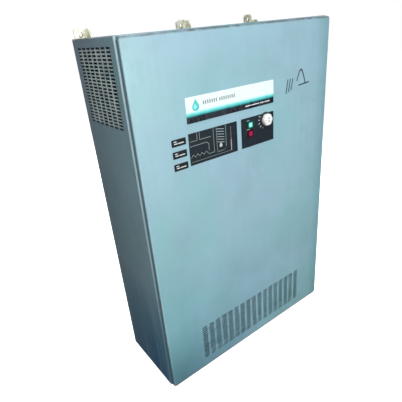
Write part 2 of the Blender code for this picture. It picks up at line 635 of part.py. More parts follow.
# ---- air side ----------------------------------------------------------------------------------
def exchanger_vessel():
    """A closed vessel with a hollow inside and holes for its pipes and stubs."""
    low, high = VESSEL_Z
    r, wall = VESSEL_RADIUS, 0.002
    vessel = turned("exchanger_vessel", [(0, high), (0.025, high - 0.004), (r - 0.006, high - 0.012),
           (r, high - 0.022), (r, low + 0.022), (r - 0.006, low + 0.012), (0.025, low + 0.004),
           (0, low)], (STEEL, 0.4, 1.0), EXCHANGER, steps=20)
    inner = turned("vessel_bore", [(0, high - wall), (0.025, high - 0.004 - wall),
                   (r - 0.007, high - 0.012 - wall), (r - wall, high - 0.022 - wall),
                   (r - wall, low + 0.022 + wall), (r - 0.007, low + 0.012 + wall),
                   (0.025, low + 0.004 + wall), (0, low + wall)],
                   (STEEL, 0.4, 1.0), EXCHANGER, steps=20)
    mesh, place = evaluated_mesh(inner)
    mesh.transform(place)
    cut(vessel, mesh)
    pipes = [Vector((x, EXCHANGER.y, high - 0.008)) for x in (INLET_X, OUTLET_X)]
    cut(vessel, cylinders(pipes, AIR_PIPE + GAP, 0.030, sides=16))
    stubs = [Vector((EXCHANGER.x, EXCHANGER.y + HELIX_RADIUS, high - 0.008)),
             Vector((EXCHANGER.x + HELIX_RADIUS, EXCHANGER.y, low + 0.008))]
    cut(vessel, cylinders(stubs, HELIX_TUBE + 2 * GAP, 0.030, sides=12))
    cut(vessel, cylinders([Vector((EXCHANGER.x, EXCHANGER.y, low))], 0.010, 0.016, sides=12))


def evaporator_coil():
    """A helix from the stub in the lower dome to the stub in the upper dome."""
    turns, per_turn = 4.25, 8
    low, high = 0.275, 0.600
    count = int(turns * per_turn)
    helix = []
    for i in range(count + 1):
        angle = 2 * math.pi * i / per_turn
        helix.append(EXCHANGER + Vector((HELIX_RADIUS * math.cos(angle), HELIX_RADIUS * math.sin(angle),
                                         low + (high - low) * i / count)))
    first = EXCHANGER + Vector((HELIX_RADIUS, 0.0, 0.226))
    last = EXCHANGER + Vector((0.0, HELIX_RADIUS, VESSEL_Z[1] + 0.012))
    tube("evaporator_coil", [first] + helix + [last], HELIX_TUBE, (COPPER, 0.3, 1.0))


def insulation_and_clamps():
    """The foam round the vessel, and two clamps that hold it to the back panel."""
    low, high = JACKET_Z
    inner = VESSEL_RADIUS + GAP
    turned("insulation_jacket", [(JACKET_RADIUS, high), (JACKET_RADIUS, low), (inner, low),
           (inner, high)], ((0.02, 0.02, 0.02), 0.9), EXCHANGER, steps=20, ring=True)
    for name, z in zip(("lower_exchanger_clamp", "upper_exchanger_clamp"), CLAMP_Z):
        a, b = JACKET_RADIUS + GAP, JACKET_RADIUS + GAP + 0.0016
        clamp = turned(name, [(b, z + 0.008), (b, z - 0.008), (a, z - 0.008), (a, z + 0.008)],
                       (STEEL, 0.4, 1.0), EXCHANGER, steps=20, ring=True)
        arm = (EXCHANGER.x - 0.015, EXCHANGER.x + 0.015, EXCHANGER.y + a + 0.0008, INNER_BACK,
               z - 0.008, z + 0.008)
        join(clamp, boxes([arm]))


def separator_and_drain():
    """The separator below the vessel: head, bowl, float, drain cock and drain tube."""
    x, y = EXCHANGER.x, EXCHANGER.y
    turned("separator_head", [(0, 0.2312), (0.009, 0.2312), (0.009, 0.205), (0.032, 0.202),
           (0.032, 0.174), (0, 0.174)], ((0.55, 0.56, 0.58), 0.45, 1.0), EXCHANGER, steps=20)
    turned("separator_bowl", [(0.030, 0.1737), (0.030, 0.100), (0.020, 0.088), (0.004, 0.086),
           (0.004, 0.090), (0.018, 0.0915), (0.027, 0.102), (0.027, 0.1737)],
           ((0.55, 0.56, 0.58), 0.4, 1.0), EXCHANGER, steps=20, ring=True)
    turned("drain_float", [(0, 0.028), (0.014, 0.028), (0.018, 0.023), (0.018, 0.006), (0.014, 0.0),
           (0, 0.0)], ((0.8, 0.8, 0.78), 0.4), Vector((x, y, 0.1035)))
    turned("drain_cock_body", [(0, 0.0857), (0.0035, 0.0857), (0.0075, 0.0855), (0.0075, 0.052),
           (0, 0.052)], (BRASS, 0.3, 1.0), EXCHANGER, steps=12)
    lever_y = y - 0.0078
    handle = turned("drain_cock_handle", [(0, 0.013), (0.004, 0.013), (0.004, 0.0), (0, 0.0)],
                    ((0.6, 0.05, 0.04), 0.4), Vector((x, lever_y, DRAIN_Z)), FACING, 10)
    bar = (x - 0.006, x + 0.036, lever_y - 0.012, lever_y - 0.008, DRAIN_Z - 0.005, DRAIN_Z + 0.005)
    join(handle, boxes([bar]))
    tube("condensate_drain_tube", [(x, y, 0.0517), (x, y, 0.0005)], 0.004, ((0.8, 0.8, 0.75), 0.4))


def air_pipes_and_ports():
    """The two air pipes and the ports that pass through the right side panel."""
    for name, x, z in (("inlet", INLET_X, INLET_Z), ("outlet", OUTLET_X, OUTLET_Z)):
        start = VESSEL_Z[1] - 0.012
        tube(f"air_{name}_pipe", route([(x, PORT_Y, start), (x, PORT_Y, z), (0.2892, PORT_Y, z)],
             0.016, 4), AIR_PIPE, (COPPER, 0.35, 1.0))
        outside, inside = WIDTH / 2 + GAP, INNER_X
        turned(f"air_{name}_port", [(0.021, outside + 0.018), (0.021, outside), (0.0156, outside),
               (0.0156, inside), (0.021, inside), (0.021, 0.2895), (0.0095, 0.2895),
               (0.0095, outside + 0.018)], (BRASS, 0.3, 1.0), Vector((0.0, PORT_Y, z)), SIDEWAYS,
               12, ring=True)


# ---- cooling fan -------------------------------------------------------------------------------
def fan():
    """A square housing behind the side slots, its motor on a spider, and the rotor."""
    half = FAN_SIZE / 2
    outline = rounded(FAN.y - half, FAN.y + half, FAN.z - half, FAN.z + half, 0.008, 2)
    plate("fan_housing", [outline, circle(FAN.y, FAN.z, FAN_BORE, 28)], FAN_DEPTH, (BLACK, 0.5),
          Vector((FAN.x + FAN_DEPTH / 2, 0.0, 0.0)), SIDEWAYS)
    spider_x = FAN.x + FAN_DEPTH + GAP
    plate("fan_spider", [spider_outline(), circle(FAN.y, FAN.z, 0.006, 10)], 0.003, (STEEL, 0.4, 1.0),
          Vector((spider_x + 0.0015, 0.0, 0.0)), SIDEWAYS)
    motor_x = spider_x + 0.003 + GAP
    motor = turned("fan_motor", [(0, 0.036), (0.020, 0.036), (0.028, 0.030), (0.028, 0.0), (0, 0.0)],
                   ((0.03, 0.03, 0.03), 0.4), Vector((motor_x, FAN.y, FAN.z)), SIDEWAYS, 20)
    cut(motor, cylinders([Vector((motor_x, FAN.y, FAN.z))], 0.0045, 0.024, SIDEWAYS, 10))
    fan_rotor()


def spider_outline():
    """Four arms from a round centre to the housing's corners."""
    outline = []
    for arm in range(4):
        middle = 45 + 90 * arm
        for radius, spread in ((0.029, -28), (0.030, -12), (0.104, -3.2), (0.104, 3.2), (0.030, 12),
                               (0.029, 28)):
            angle = math.radians(middle + spread)
            outline.append((FAN.y + radius * math.cos(angle), FAN.z + radius * math.sin(angle)))
    return outline


def fan_rotor():
    """A hub with pitched blades and a shaft into the motor."""
    hub_x = FAN.x + 0.006
    rotor = turned("fan_rotor", [(0, 0.029), (0.025, 0.029), (0.025, 0.003), (0.022, 0.0), (0, 0.0)],
                   ((0.04, 0.04, 0.045), 0.4), Vector((hub_x, FAN.y, FAN.z)), SIDEWAYS, 20)
    bm = bmesh.new()
    for blade in range(BLADES):
        turn = Matrix.Rotation(2 * math.pi * blade / BLADES, 4, "X")
        pitch = Matrix.Rotation(math.radians(50), 4, "Z")
        size = Matrix.Diagonal((0.0022, 0.036, 0.052, 1.0))
        there = Matrix.Translation((hub_x + 0.0145, FAN.y, FAN.z))
        bmesh.ops.create_cube(bm, size=1.0, matrix=there @ turn @ Matrix.Translation((0, 0, 0.0485))
                              @ pitch @ size)
    mesh = bpy.data.meshes.new("blades")
    bm.to_mesh(mesh)
    bm.free()
    join(rotor, mesh)
    join(rotor, cylinders([Vector((hub_x + 0.034, FAN.y, FAN.z))], 0.0035, 0.014, SIDEWAYS, 10))


# ---- electrical --------------------------------------------------------------------------------
def wiring_box():
    """An open-fronted steel box with its cover, its terminal block and its contactor."""
    x0, x1, y0, y1, z0, z1 = BOX
    bm = bmesh.new()
    size = Matrix.Diagonal((x1 - x0, y1 - y0, z1 - z0, 1.0))
    middle = Matrix.Translation(((x0 + x1) / 2, (y0 + y1) / 2, (z0 + z1) / 2))
    bmesh.ops.create_cube(bm, size=1.0, matrix=middle @ size)
    opening = [f for f in bm.faces if f.normal.y < -0.9]
    bmesh.ops.delete(bm, geom=opening, context="FACES_ONLY")
    mesh = bpy.data.meshes.new("wiring_box")
    bm.to_mesh(mesh)
    bm.free()
    fold(link("wiring_box", mesh, ((0.6, 0.62, 0.62), 0.45)), SHEET, -1.0)
    cover = box("wiring_box_cover", (x0 - 0.001, x1 + 0.001, y0 - GAP - SHEET, y0 - GAP, z0 - 0.001,
                                     z1 + 0.001), ((0.6, 0.62, 0.62), 0.45))
    round_edges(cover, 0.0005, 1)
    terminal_block(x0 + 0.020, y1 - SHEET - GAP, z0 + 0.018)
    relay = (x0 + 0.105, x0 + 0.150, y1 - SHEET - GAP - 0.042, y1 - SHEET - GAP, z0 + 0.070, z0 + 0.130)
    box("compressor_contactor", relay, ((0.10, 0.10, 0.11), 0.5), 0.002)


def terminal_block(x, rear, z):
    """Six ways side by side, parted by shallow grooves."""
    ways, pitch = 6, 0.012
    block = box("terminal_block", (x, x + ways * pitch, rear - 0.026, rear, z, z + 0.034),
                ((0.75, 0.72, 0.62), 0.5))
    grooves = [(x + i * pitch - 0.0008, x + i * pitch + 0.0008, rear - 0.030, rear - 0.018, z - 0.01,
                z + 0.05) for i in range(1, ways)]
    cut(block, boxes(grooves))


def cable_gland():
    """A hollow gland clamped through the right side panel."""
    outside, inside = WIDTH / 2 + GAP, INNER_X
    turned("cable_gland", [(0.009, outside + 0.018), (0.0125, outside + 0.012),
           (0.0140, outside + 0.008), (0.0140, outside), (0.0100, outside), (0.0100, inside),
           (0.0140, inside), (0.0140, inside - 0.008), (0.0050, inside - 0.008),
           (0.0050, outside + 0.018)], (BLACK, 0.5),
           Vector((0.0, *GLAND)), SIDEWAYS, 12, ring=True)


# ---- build -------------------------------------------------------------------------------------
vented_side_panel()
port_side_panel()
top_panel()
back_panel()
base_pan()
hanging_brackets()
front_cover()
plates_and_labels()
lamps()
rotary_switch()
compressor()
accumulator_and_drier()
bypass_valve()
condenser()
refrigerant_lines()
exchanger_vessel()
evaporator_coil()
insulation_and_clamps()
separator_and_drain()
air_pipes_and_ports()
fan()
wiring_box()
cable_gland()
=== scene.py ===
"""Looks of the refrigerated air dryer: materials, prints, small fittings, light and camera.

Metres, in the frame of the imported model: x to the right, -y out of the front, z up.
"""
import math

import bmesh
import bpy
from mathutils import Matrix, Vector


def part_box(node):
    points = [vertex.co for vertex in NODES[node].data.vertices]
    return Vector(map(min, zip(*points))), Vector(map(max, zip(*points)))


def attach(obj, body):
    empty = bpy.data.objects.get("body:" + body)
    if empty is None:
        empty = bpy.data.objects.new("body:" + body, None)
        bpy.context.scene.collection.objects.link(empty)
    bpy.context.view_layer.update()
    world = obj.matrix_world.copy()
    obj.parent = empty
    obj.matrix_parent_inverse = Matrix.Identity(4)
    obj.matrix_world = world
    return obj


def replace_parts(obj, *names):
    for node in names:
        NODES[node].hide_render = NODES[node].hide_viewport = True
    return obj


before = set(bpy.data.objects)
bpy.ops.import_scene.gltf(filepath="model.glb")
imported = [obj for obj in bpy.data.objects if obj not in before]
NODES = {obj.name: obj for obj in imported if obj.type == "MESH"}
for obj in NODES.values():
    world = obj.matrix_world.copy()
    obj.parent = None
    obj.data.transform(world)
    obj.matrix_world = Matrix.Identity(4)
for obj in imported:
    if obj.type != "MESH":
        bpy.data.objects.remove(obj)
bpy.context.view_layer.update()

# what the CAD says
COVER_LOW, COVER_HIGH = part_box("front_cover")
WIDTH, HEIGHT = COVER_HIGH.x - COVER_LOW.x, COVER_HIGH.z
FRONT = COVER_LOW.y         # face of the front cover
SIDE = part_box("right_side_panel")[1].x              # outer face of the right side panel
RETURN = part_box("left_side_panel")[0].y             # front edge of the side panels, where they bend in

# places on the CAD parts
VENT_CENTRE, VENT_HALF = (0.0065, 0.8158), 0.086    # field of slots in the left side, in y and z
GRILLE_Z, GRILLE_HALF = (0.032, 0.152), 0.212       # field of slots in the front cover
EYE_RISE = 0.0090           # height of each hanging bracket's bolt eye above the top panel
CUT = (0.0001, 0.0003)      # depth where the wall of a slot begins, and where its painted shade is full
SPIDER_REACH = 0.099        # the fan's axis to the screws of its spider
TERMINAL_WAYS = 6           # ways of the terminal block

# prints
INK = 0.00005               # height of a printed layer above what it is printed on
MARKER = 0.0036             # width of a stroke of the marker pen
DIAGRAM_LINE = 0.0011       # width of a thin line of the flow diagram
ROW = 0.0022                # height of a row of small print

# fittings
TOUCH = 0.0001              # gap between a fastener and what it holds
SEAT = 0.0002               # gap under a port's nut, the rating plate and a jacket tie
COVER_SCREW, TERMINAL_SCREW, FAN_SCREW = 0.0030, 0.0024, 0.0028     # radius of the heads
CROSS = 0.34                # how narrow a screw's cross recess is between its arms
PORT_NUT, GLAND_NUT = (0.0262, 0.007, 0.0212), (0.0172, 0.006, 0.0142)      # radius, height, bore
KNOB_RADIUS, KNOB_LOBES = 0.0149, 6
FIN_PITCH, FIN_SHEET = 0.0032, 0.00025
FIN_INSET = 0.0020          # the fins' edges to the edges of the end plates
FIN_Z = (0.030, 0.148)      # the condenser's fins, from bottom to top
END_PLATE = 0.0015          # sheet of the condenser's end plates
GASKET_INSET, GASKET_WIDTH, GASKET_DEPTH = 0.0040, 0.010, 0.004

# looks
COVER_BLUE = (0.31, 0.49, 0.58)
SIDE_BLUE = (0.30, 0.46, 0.54)
FLAT_SMOOTH, ROUND_SMOOTH = 35.0, 50.0      # degrees between faces that still shade as one
AMBIENT = 0.075             # strength of the white world, but for the camera, which sees it at 1
SOFTBOXES = (               # name, place, what it points at, side of its square, power in watts
    ("key", (-0.45, -1.35, 1.95), (0.0, -0.12, 0.75), 1.0, 20.0),
    ("front_fill", (0.1, -1.7, 0.7), (0.05, -0.12, 0.40), 0.9, 17.0),
    ("left_fill", (-1.6, -0.9, 0.9), (-0.1, -0.12, 0.5), 1.0, 8.0),
    ("right_fill", (1.9, 0.2, 1.3), (0.3, 0.0, 0.5), 1.0, 12.0),
    ("back_fill", (0.6, 2.4, 1.6), (0.0, 0.1, 0.5), 1.4, 30.0),
    ("overhead", (0.1, 0.2, 2.9), (0.1, 0.2, 0.9), 1.5, 22.0))
CAMERA_PLACE = (-0.6314, -0.7869, 0.9141)
CAMERA_AHEAD = (0.51168, 0.74938, -0.42025)
CAMERA_ROLL = -5.56         # degrees
CAMERA_LENS, CAMERA_SENSOR = 33.23, 36.0    # millimetres
CAMERA_SHIFT = 0.0102       # of the picture's width


def middle(name):
    """The middle of a CAD node."""
    low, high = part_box(name)
    return (low + high) / 2


# ---- node helpers ------------------------------------------------------------------------------
class Look:
    """A Principled material with short calls for the nodes that it uses."""

    def __init__(self, name, roughness, metallic=0.0, **sockets):
        self.material = bpy.data.materials.new(name)
        self.material.use_nodes = True
        self.tree = self.material.node_tree
        self.shader = self.tree.nodes["Principled BSDF"]
        self.set("Roughness", roughness)
        self.set("Metallic", metallic)
        for socket, value in sockets.items():
            self.set(socket.replace("_", " "), value)
        self.place = self.tree.nodes.new("ShaderNodeTexCoord").outputs["Object"]

    def set(self, socket, value):
        target = self.shader.inputs[socket]
        if isinstance(value, bpy.types.NodeSocket):
            self.tree.links.new(value, target)
        elif isinstance(value, tuple):
            target.default_value = (*value, 1.0)[:4]
        else:
            target.default_value = value
        return self

    def node(self, kind, inputs, output=0, **options):
        made = self.tree.nodes.new(kind)
        for option, value in options.items():
            setattr(made, option, value)
        for key, value in inputs.items():
            if isinstance(value, bpy.types.NodeSocket):
                self.tree.links.new(value, made.inputs[key])
            elif value is not None:
                made.inputs[key].default_value = value
        return made.outputs[output]

    def math(self, operation, a, b=None):
        values = {0: a} if b is None else {0: a, 1: b}
        return self.node("ShaderNodeMath", values, operation=operation)

    def times(self, a, b):
        return self.math("MULTIPLY", a, b)

    def apart(self, a, b):
        """The distance between two values."""
        return self.math("ABSOLUTE", self.math("SUBTRACT", a, b))

    def length(self, a, b):
        """The length of a flat vector from its two parts."""
        return self.math("SQRT", self.math("ADD", self.times(a, a), self.times(b, b)))

    def noise(self, scale, detail=3.0, rough=0.55, stretch=None, offset=0.0):
        place = self.place
        if stretch or offset:
            place = self.node("ShaderNodeMapping", {"Vector": place, "Scale": stretch or (1, 1, 1),
                                                    "Location": (offset,) * 3})
        return self.node("ShaderNodeTexNoise", {"Vector": place, "Scale": scale, "Detail": detail,
                                                "Roughness": rough})

    def cells(self, scale, output="Distance"):
        return self.node("ShaderNodeTexVoronoi", {"Vector": self.place, "Scale": scale}, output)

    def span(self, value, low, high, start=0.0, end=1.0):
        return self.node("ShaderNodeMapRange", {"Value": value, "From Min": low, "From Max": high,
                                                "To Min": start, "To Max": end}, clamp=True)

    def axis(self, letter):
        parts = self.tree.nodes.new("ShaderNodeSeparateXYZ")
        self.tree.links.new(self.place, parts.inputs[0])
        return parts.outputs[letter.upper()]

    def mix(self, factor, a, b, blend="MIX"):
        made = self.tree.nodes.new("ShaderNodeMix")
        made.data_type = "RGBA"
        made.blend_type = blend
        for key, value in ((0, factor), (6, a), (7, b)):
            if isinstance(value, bpy.types.NodeSocket):
                self.tree.links.new(value, made.inputs[key])
            elif isinstance(value, tuple):
                made.inputs[key].default_value = (*value, 1.0)
            else:
                made.inputs[key].default_value = value
        return made.outputs[2]

    def ramp(self, value, stops):
        made = self.tree.nodes.new("ShaderNodeValToRGB")
        points = made.color_ramp.elements
        while len(points) < len(stops):
            points.new(0.5)
        for point, (at, colour) in zip(points, stops):
            point.position = at
            point.color = (*colour, 1.0)
        self.tree.links.new(value, made.inputs[0])
        return made.outputs[0]

    def bump(self, height, strength, distance, before=None):
        normal = self.node("ShaderNodeBump", {"Height": height, "Strength": strength,
                                              "Distance": distance, "Normal": before})
        self.set("Normal", normal)
        return normal


def shade(colour, factor):
    """The colour made lighter or darker, and never past white."""
    return tuple(min(1.0, c * factor) for c in colour)


# ---- materials ---------------------------------------------------------------------------------
def paint(name, colour, roughness, grime, seed=0.0, edges=None):
    """Baked enamel on sheet steel: orange peel, cloudy tint, faint runs, dust, small chips and a painted
    bluish shade low down on the left.
    """
    look = Look(name, roughness, Coat_Weight=0.15, Coat_Roughness=0.25)
    cloud = look.noise(5.0, 4.0, 0.6, offset=seed)
    dull, bright = shade(colour, 0.90), tuple(c * lift for c, lift in zip(colour, (1.02, 1.06, 1.03)))
    tint = look.ramp(look.span(cloud, 0.3, 0.7), [(0.0, dull), (0.5, colour), (1.0, bright)])
    streak = look.noise(9.0, 3.0, 0.5, stretch=(9.0, 9.0, 0.5), offset=seed + 3.0)
    tint = look.mix(look.span(streak, 0.52, 0.80, 0.0, 0.22 * grime), tint, shade(colour, 0.70))
    low = look.span(look.axis("z"), 0.0, 0.20, 0.45 * grime, 0.0)
    dust = look.times(low, look.span(look.noise(40.0, 4.0), 0.35, 0.7))
    tint = look.mix(dust, tint, (0.13, 0.17, 0.17))
    smudge = look.times(look.span(look.noise(16.0, 5.0, 0.65, offset=seed + 9.0), 0.56, 0.74),
                        look.span(look.noise(3.0, 2.0, 0.5, offset=seed + 2.0), 0.45, 0.65))
    tint = look.mix(look.times(smudge, 0.55 * grime), tint, shade(colour, 0.55))
    chips = look.times(look.span(look.noise(170.0, 2.0, 0.4), 0.72, 0.75),
                       look.span(look.noise(14.0, 2.0, 0.5, offset=7.0), 0.56, 0.66))
    tint = look.mix(look.times(chips, 0.7 * grime), tint, (0.10, 0.12, 0.13))
    green = look.span(look.noise(3.6, 3.0, 0.55, offset=seed + 14.0), 0.42, 0.60)
    tint = look.mix(look.times(green, 0.85), tint, (0.84, 0.98, 0.91), "MULTIPLY")
    # painted shade: a bluish darkening, strongest low down and towards the left
    painted_shade_low = look.times(look.span(look.axis("z"), 0.45, 0.0),
                           look.span(look.axis("x"), 0.30, -0.20, 0.15, 1.0))
    tint = look.mix(painted_shade_low, tint, (0.76, 0.97, 0.99), "MULTIPLY")
    if edges:
        tint = edges(look, tint)
    look.set("Base Color", tint)
    smear = look.noise(22.0, 5.0, 0.62, stretch=(1.0, 1.0, 0.45), offset=seed + 1.0)
    look.set("Roughness", look.span(smear, 0.3, 0.75, roughness - 0.06, roughness + 0.14))
    peel = look.noise(620.0, 2.0, 0.5)
    dents = look.noise(7.0, 2.0, 0.5, offset=seed + 5.0)
    look.bump(peel, 0.10, 0.0003, look.bump(dents, 0.35, 0.002))
    return look.material


def cover_edges(look, tint):
    """The cover has a painted highlight on its side rims, is dark at its top and bottom rims and greyer
    at its foot, and has painted shade at the right, the low left and the flange.
    """
    half, centre = WIDTH / 2, HEIGHT / 2
    x, z = look.axis("x"), look.axis("z")
    across = look.math("SUBTRACT", look.math("ABSOLUTE", x), half)
    up = look.math("SUBTRACT", look.apart(z, centre), centre)
    broken = look.span(look.noise(55.0, 4.0, 0.6), 0.30, 0.62, 0.35, 1.0)
    # painted highlight along the cover's side rims
    rim = look.times(look.span(across, -0.0045, -0.0012), broken)
    tint = look.mix(look.times(rim, 0.55), tint, (0.52, 0.68, 0.74))
    edge = look.times(look.span(up, -0.0056, -0.0026), broken)
    tint = look.mix(look.times(edge, 0.90), tint, (0.10, 0.10, 0.10))
    foot = look.times(look.span(z, 0.0120, 0.0060), broken)
    tint = look.mix(look.times(foot, 0.80), tint, (0.40, 0.41, 0.40))
    tint = grille_shade(look, tint)
    # painted shade in the low left corner and towards the right side
    corner = look.times(look.span(z, 0.20, 0.0), look.span(x, 0.05, -0.30))
    tint = look.mix(corner, tint, (0.51, 0.55, 0.61), "MULTIPLY")
    tint = look.mix(look.span(x, 0.262, 0.296), tint, (0.76, 0.84, 0.84), "MULTIPLY")
    # painted shade on the cover's side flange
    flange_shade = look.span(look.axis("y"), FRONT + 0.0006, FRONT + 0.0028)
    return look.mix(look.times(flange_shade, 0.60), tint, (0.06, 0.15, 0.21))


def grille_shade(look, tint):
    """Painted shade darkens the cut walls of the front slots, and the bars between them get a painted
    highlight and patches of painted shade.
    """
    low, high = GRILLE_Z
    x, z = look.math("ABSOLUTE", look.axis("x")), look.axis("z")
    field = look.times(look.span(z, low, low + 0.001), look.span(z, high, high - 0.001))
    field = look.times(field, look.span(x, GRILLE_HALF, GRILLE_HALF - 0.001))
    # the bars get a painted highlight and patches of painted shade, fading towards the sides of the field
    rubbed = look.times(field, look.span(x, GRILLE_HALF, GRILLE_HALF - 0.030))
    patchy = look.noise(150.0, 2.0, 0.5, stretch=(0.8, 1.0, 1.2), offset=8.0)
    pale = look.times(rubbed, look.span(patchy, 0.44, 0.60, 0.0, 0.50))
    tint = look.mix(pale, tint, (0.44, 0.72, 0.82))
    dark = look.times(rubbed, look.span(patchy, 0.52, 0.38, 0.0, 0.30))
    tint = look.mix(dark, tint, (0.05, 0.18, 0.22))
    # painted shade on the cut walls of the slots
    depth = look.times(look.span(look.axis("y"), FRONT + CUT[0], FRONT + CUT[1]), field)
    return look.mix(look.times(depth, 0.88), tint, (0.006, 0.030, 0.040))


def panel_edges(look, tint):
    """A side panel is duller to the rear, has a painted highlight high on its front bend, painted shade
    in the seam and a painted bluish reflection low down.
    """
    y, z = look.axis("y"), look.axis("z")
    tint = look.mix(look.span(y, -0.08, 0.09), tint, (0.90, 0.79, 0.82), "MULTIPLY")
    # painted highlight on the front bend, high up
    worn = look.times(look.span(y, RETURN + 0.0014, RETURN + 0.0022),
                      look.span(y, RETURN + 0.0060, RETURN + 0.0042))
    worn = look.times(worn, look.span(z, 0.15, 0.85, 0.10, 1.0))
    tint = look.mix(look.times(worn, 0.85), tint, (0.64, 0.84, 0.92))
    # painted shade in the seam behind the bend
    seam_shade = look.span(y, RETURN + 0.0018, RETURN + 0.0006)
    tint = look.mix(look.times(seam_shade, 0.75), tint, (0.05, 0.13, 0.19))
    tint = vent_highlight_and_shade(look, tint, y, z)
    # painted reflection: bluish streaks low down and towards the front
    painted_blue_reflection = look.span(z, 0.02, 0.34, 1.0, 0.0)
    runs = look.noise(30.0, 3.0, 0.6, stretch=(1.0, 1.0, 0.06), offset=4.0)
    painted_blue_reflection = look.times(painted_blue_reflection, look.span(runs, 0.34, 0.58, 0.35, 1.0))
    painted_blue_reflection = look.times(painted_blue_reflection, look.span(y, 0.12, -0.06, 0.45, 1.0))
    return look.mix(painted_blue_reflection, tint, (0.010, 0.125, 0.33))


def vent_highlight_and_shade(look, tint, y, z):
    """The narrow bars between the side vents get a painted highlight, and the cut walls of the slots get
    painted shade.
    """
    apart_y, apart_z = look.apart(y, VENT_CENTRE[0]), look.apart(z, VENT_CENTRE[1])
    left = look.span(look.axis("x"), 0.0, -0.1)
    field = look.times(look.span(apart_y, VENT_HALF, VENT_HALF - 0.002),
                       look.span(apart_z, VENT_HALF, VENT_HALF - 0.002))
    # painted highlight on the bars inside the vent field
    inside = look.times(look.span(apart_y, VENT_HALF - 0.002, VENT_HALF - 0.010),
                        look.span(apart_z, VENT_HALF - 0.005, VENT_HALF - 0.012))
    patchy = look.span(look.noise(28.0, 4.0, 0.6, offset=6.0), 0.30, 0.60, 0.25, 1.0)
    inside = look.times(look.times(inside, left), patchy)
    tint = look.mix(look.times(inside, 0.80), tint, (0.78, 0.92, 0.88))
    # painted shade: the cut walls of the slots darkened almost to black
    depth = look.times(look.span(look.axis("x"), CUT[0] - SIDE, CUT[1] - SIDE), look.times(field, left))
    return look.mix(look.times(depth, 0.96), tint, (0.006, 0.010, 0.011))


def zinc_yellow(name, low, high):
    """Yellow chromate on zinc: cream with olive and gold patches, and painted shade in a dark ring round
    the bolt eye.
    """
    look = Look(name, 0.40, 0.55)
    film = look.ramp(look.noise(70.0, 3.0, 0.6), [(0.30, (0.60, 0.55, 0.34)), (0.48, (0.88, 0.85, 0.68)),
                                                 (0.66, (0.96, 0.95, 0.88))])
    brown = look.span(look.noise(45.0, 4.0, 0.65, offset=3.0), 0.52, 0.66, 0.0, 0.75)
    film = look.mix(brown, film, (0.22, 0.17, 0.08))
    olive = look.span(look.noise(260.0, 3.0), 0.55, 0.75, 0.0, 0.5)
    film = look.mix(olive, film, (0.36, 0.34, 0.20))
    # painted shade: a dark ring round the bolt eye
    x = look.math("SUBTRACT", look.axis("x"), (low.x + high.x) / 2)
    z = look.times(look.math("SUBTRACT", look.axis("z"), HEIGHT + EYE_RISE), 0.75)
    ragged = look.span(look.noise(150.0, 3.0), 0.3, 0.7, 0.0, 0.002)
    worn = look.span(look.math("ADD", look.length(x, z), ragged), 0.0065, 0.0050, 0.0, 0.85)
    look.set("Base Color", look.mix(worn, film, (0.060, 0.055, 0.040)))
    look.set("Roughness", look.span(look.noise(180.0, 3.0), 0.3, 0.7, 0.28, 0.46))
    look.bump(look.noise(900.0, 2.0), 0.15, 0.0002)
    return look.material


def plain_plastic(name, colour, roughness=0.42):
    """Moulded plastic or enamel: fine grain, rubbed patches and a little dust."""
    look = Look(name, roughness)
    wear = look.noise(90.0, 4.0, 0.6)
    tint = look.mix(look.span(wear, 0.45, 0.8, 0.0, 0.30), colour, shade(colour, 1.35))
    tint = look.mix(look.span(look.noise(400.0, 2.0), 0.6, 0.8, 0.0, 0.35), tint, shade(colour, 0.6))
    look.set("Base Color", tint)
    look.set("Roughness", look.span(wear, 0.3, 0.7, roughness - 0.08, roughness + 0.10))
    look.bump(look.noise(1400.0, 2.0), 0.12, 0.0002)
    return look.material


def metal(name, colour, roughness, stain, amount, stretch=(1.0, 1.0, 1.0)):
    """Bare metal with drawn or ground lines, stained patches and dull spots."""
    look = Look(name, roughness, 1.0)
    lines = look.noise(260.0, 3.0, 0.6, stretch=stretch)
    blotch = look.noise(34.0, 5.0, 0.65)
    tint = look.mix(look.span(blotch, 0.46, 0.78, 0.0, amount), colour, stain)
    tint = look.mix(look.span(lines, 0.35, 0.8, 0.0, 0.25), tint, shade(colour, 0.72))
    look.set("Base Color", tint)
    look.set("Roughness", look.span(blotch, 0.3, 0.75, roughness - 0.06, roughness + 0.22))
    look.bump(lines, 0.18, 0.0002)
    return look.material


def galvanised():
    """Zinc-coated sheet with its spangle, where every crystal has a grey and a gloss of its own."""
    look = Look("galvanised", 0.38, 0.9)
    spangle = look.span(look.cells(150.0, "Color"), 0.25, 0.75)
    tint = look.mix(spangle, (0.46, 0.48, 0.50), (0.66, 0.68, 0.70))
    stain = look.span(look.noise(18.0, 4.0), 0.5, 0.75, 0.0, 0.35)
    look.set("Base Color", look.mix(stain, tint, (0.34, 0.34, 0.32)))
    look.set("Roughness", look.span(spangle, 0.0, 1.0, 0.34, 0.50))
    look.bump(look.noise(500.0, 2.0), 0.08, 0.0002)
    return look.material


def foam():
    """Black closed-cell foam."""
    look = Look("foam", 0.92)
    cells = look.cells(900.0)
    look.set("Base Color", look.ramp(cells, [(0.0, (0.012, 0.012, 0.013)), (0.6, (0.03, 0.03, 0.032)),
                                             (1.0, (0.055, 0.055, 0.055))]))
    look.bump(cells, 0.6, 0.0006, look.bump(look.noise(30.0, 3.0), 0.4, 0.002))
    return look.material


def rubber():
    """Black rubber with a grey bloom."""
    look = Look("rubber", 0.78)
    bloom = look.noise(120.0, 4.0, 0.6)
    look.set("Base Color", look.ramp(bloom, [(0.35, (0.012, 0.012, 0.012)), (0.75, (0.05, 0.05, 0.048))]))
    look.set("Roughness", look.span(bloom, 0.3, 0.7, 0.65, 0.9))
    look.bump(look.noise(1200.0, 2.0), 0.25, 0.0002)
    return look.material


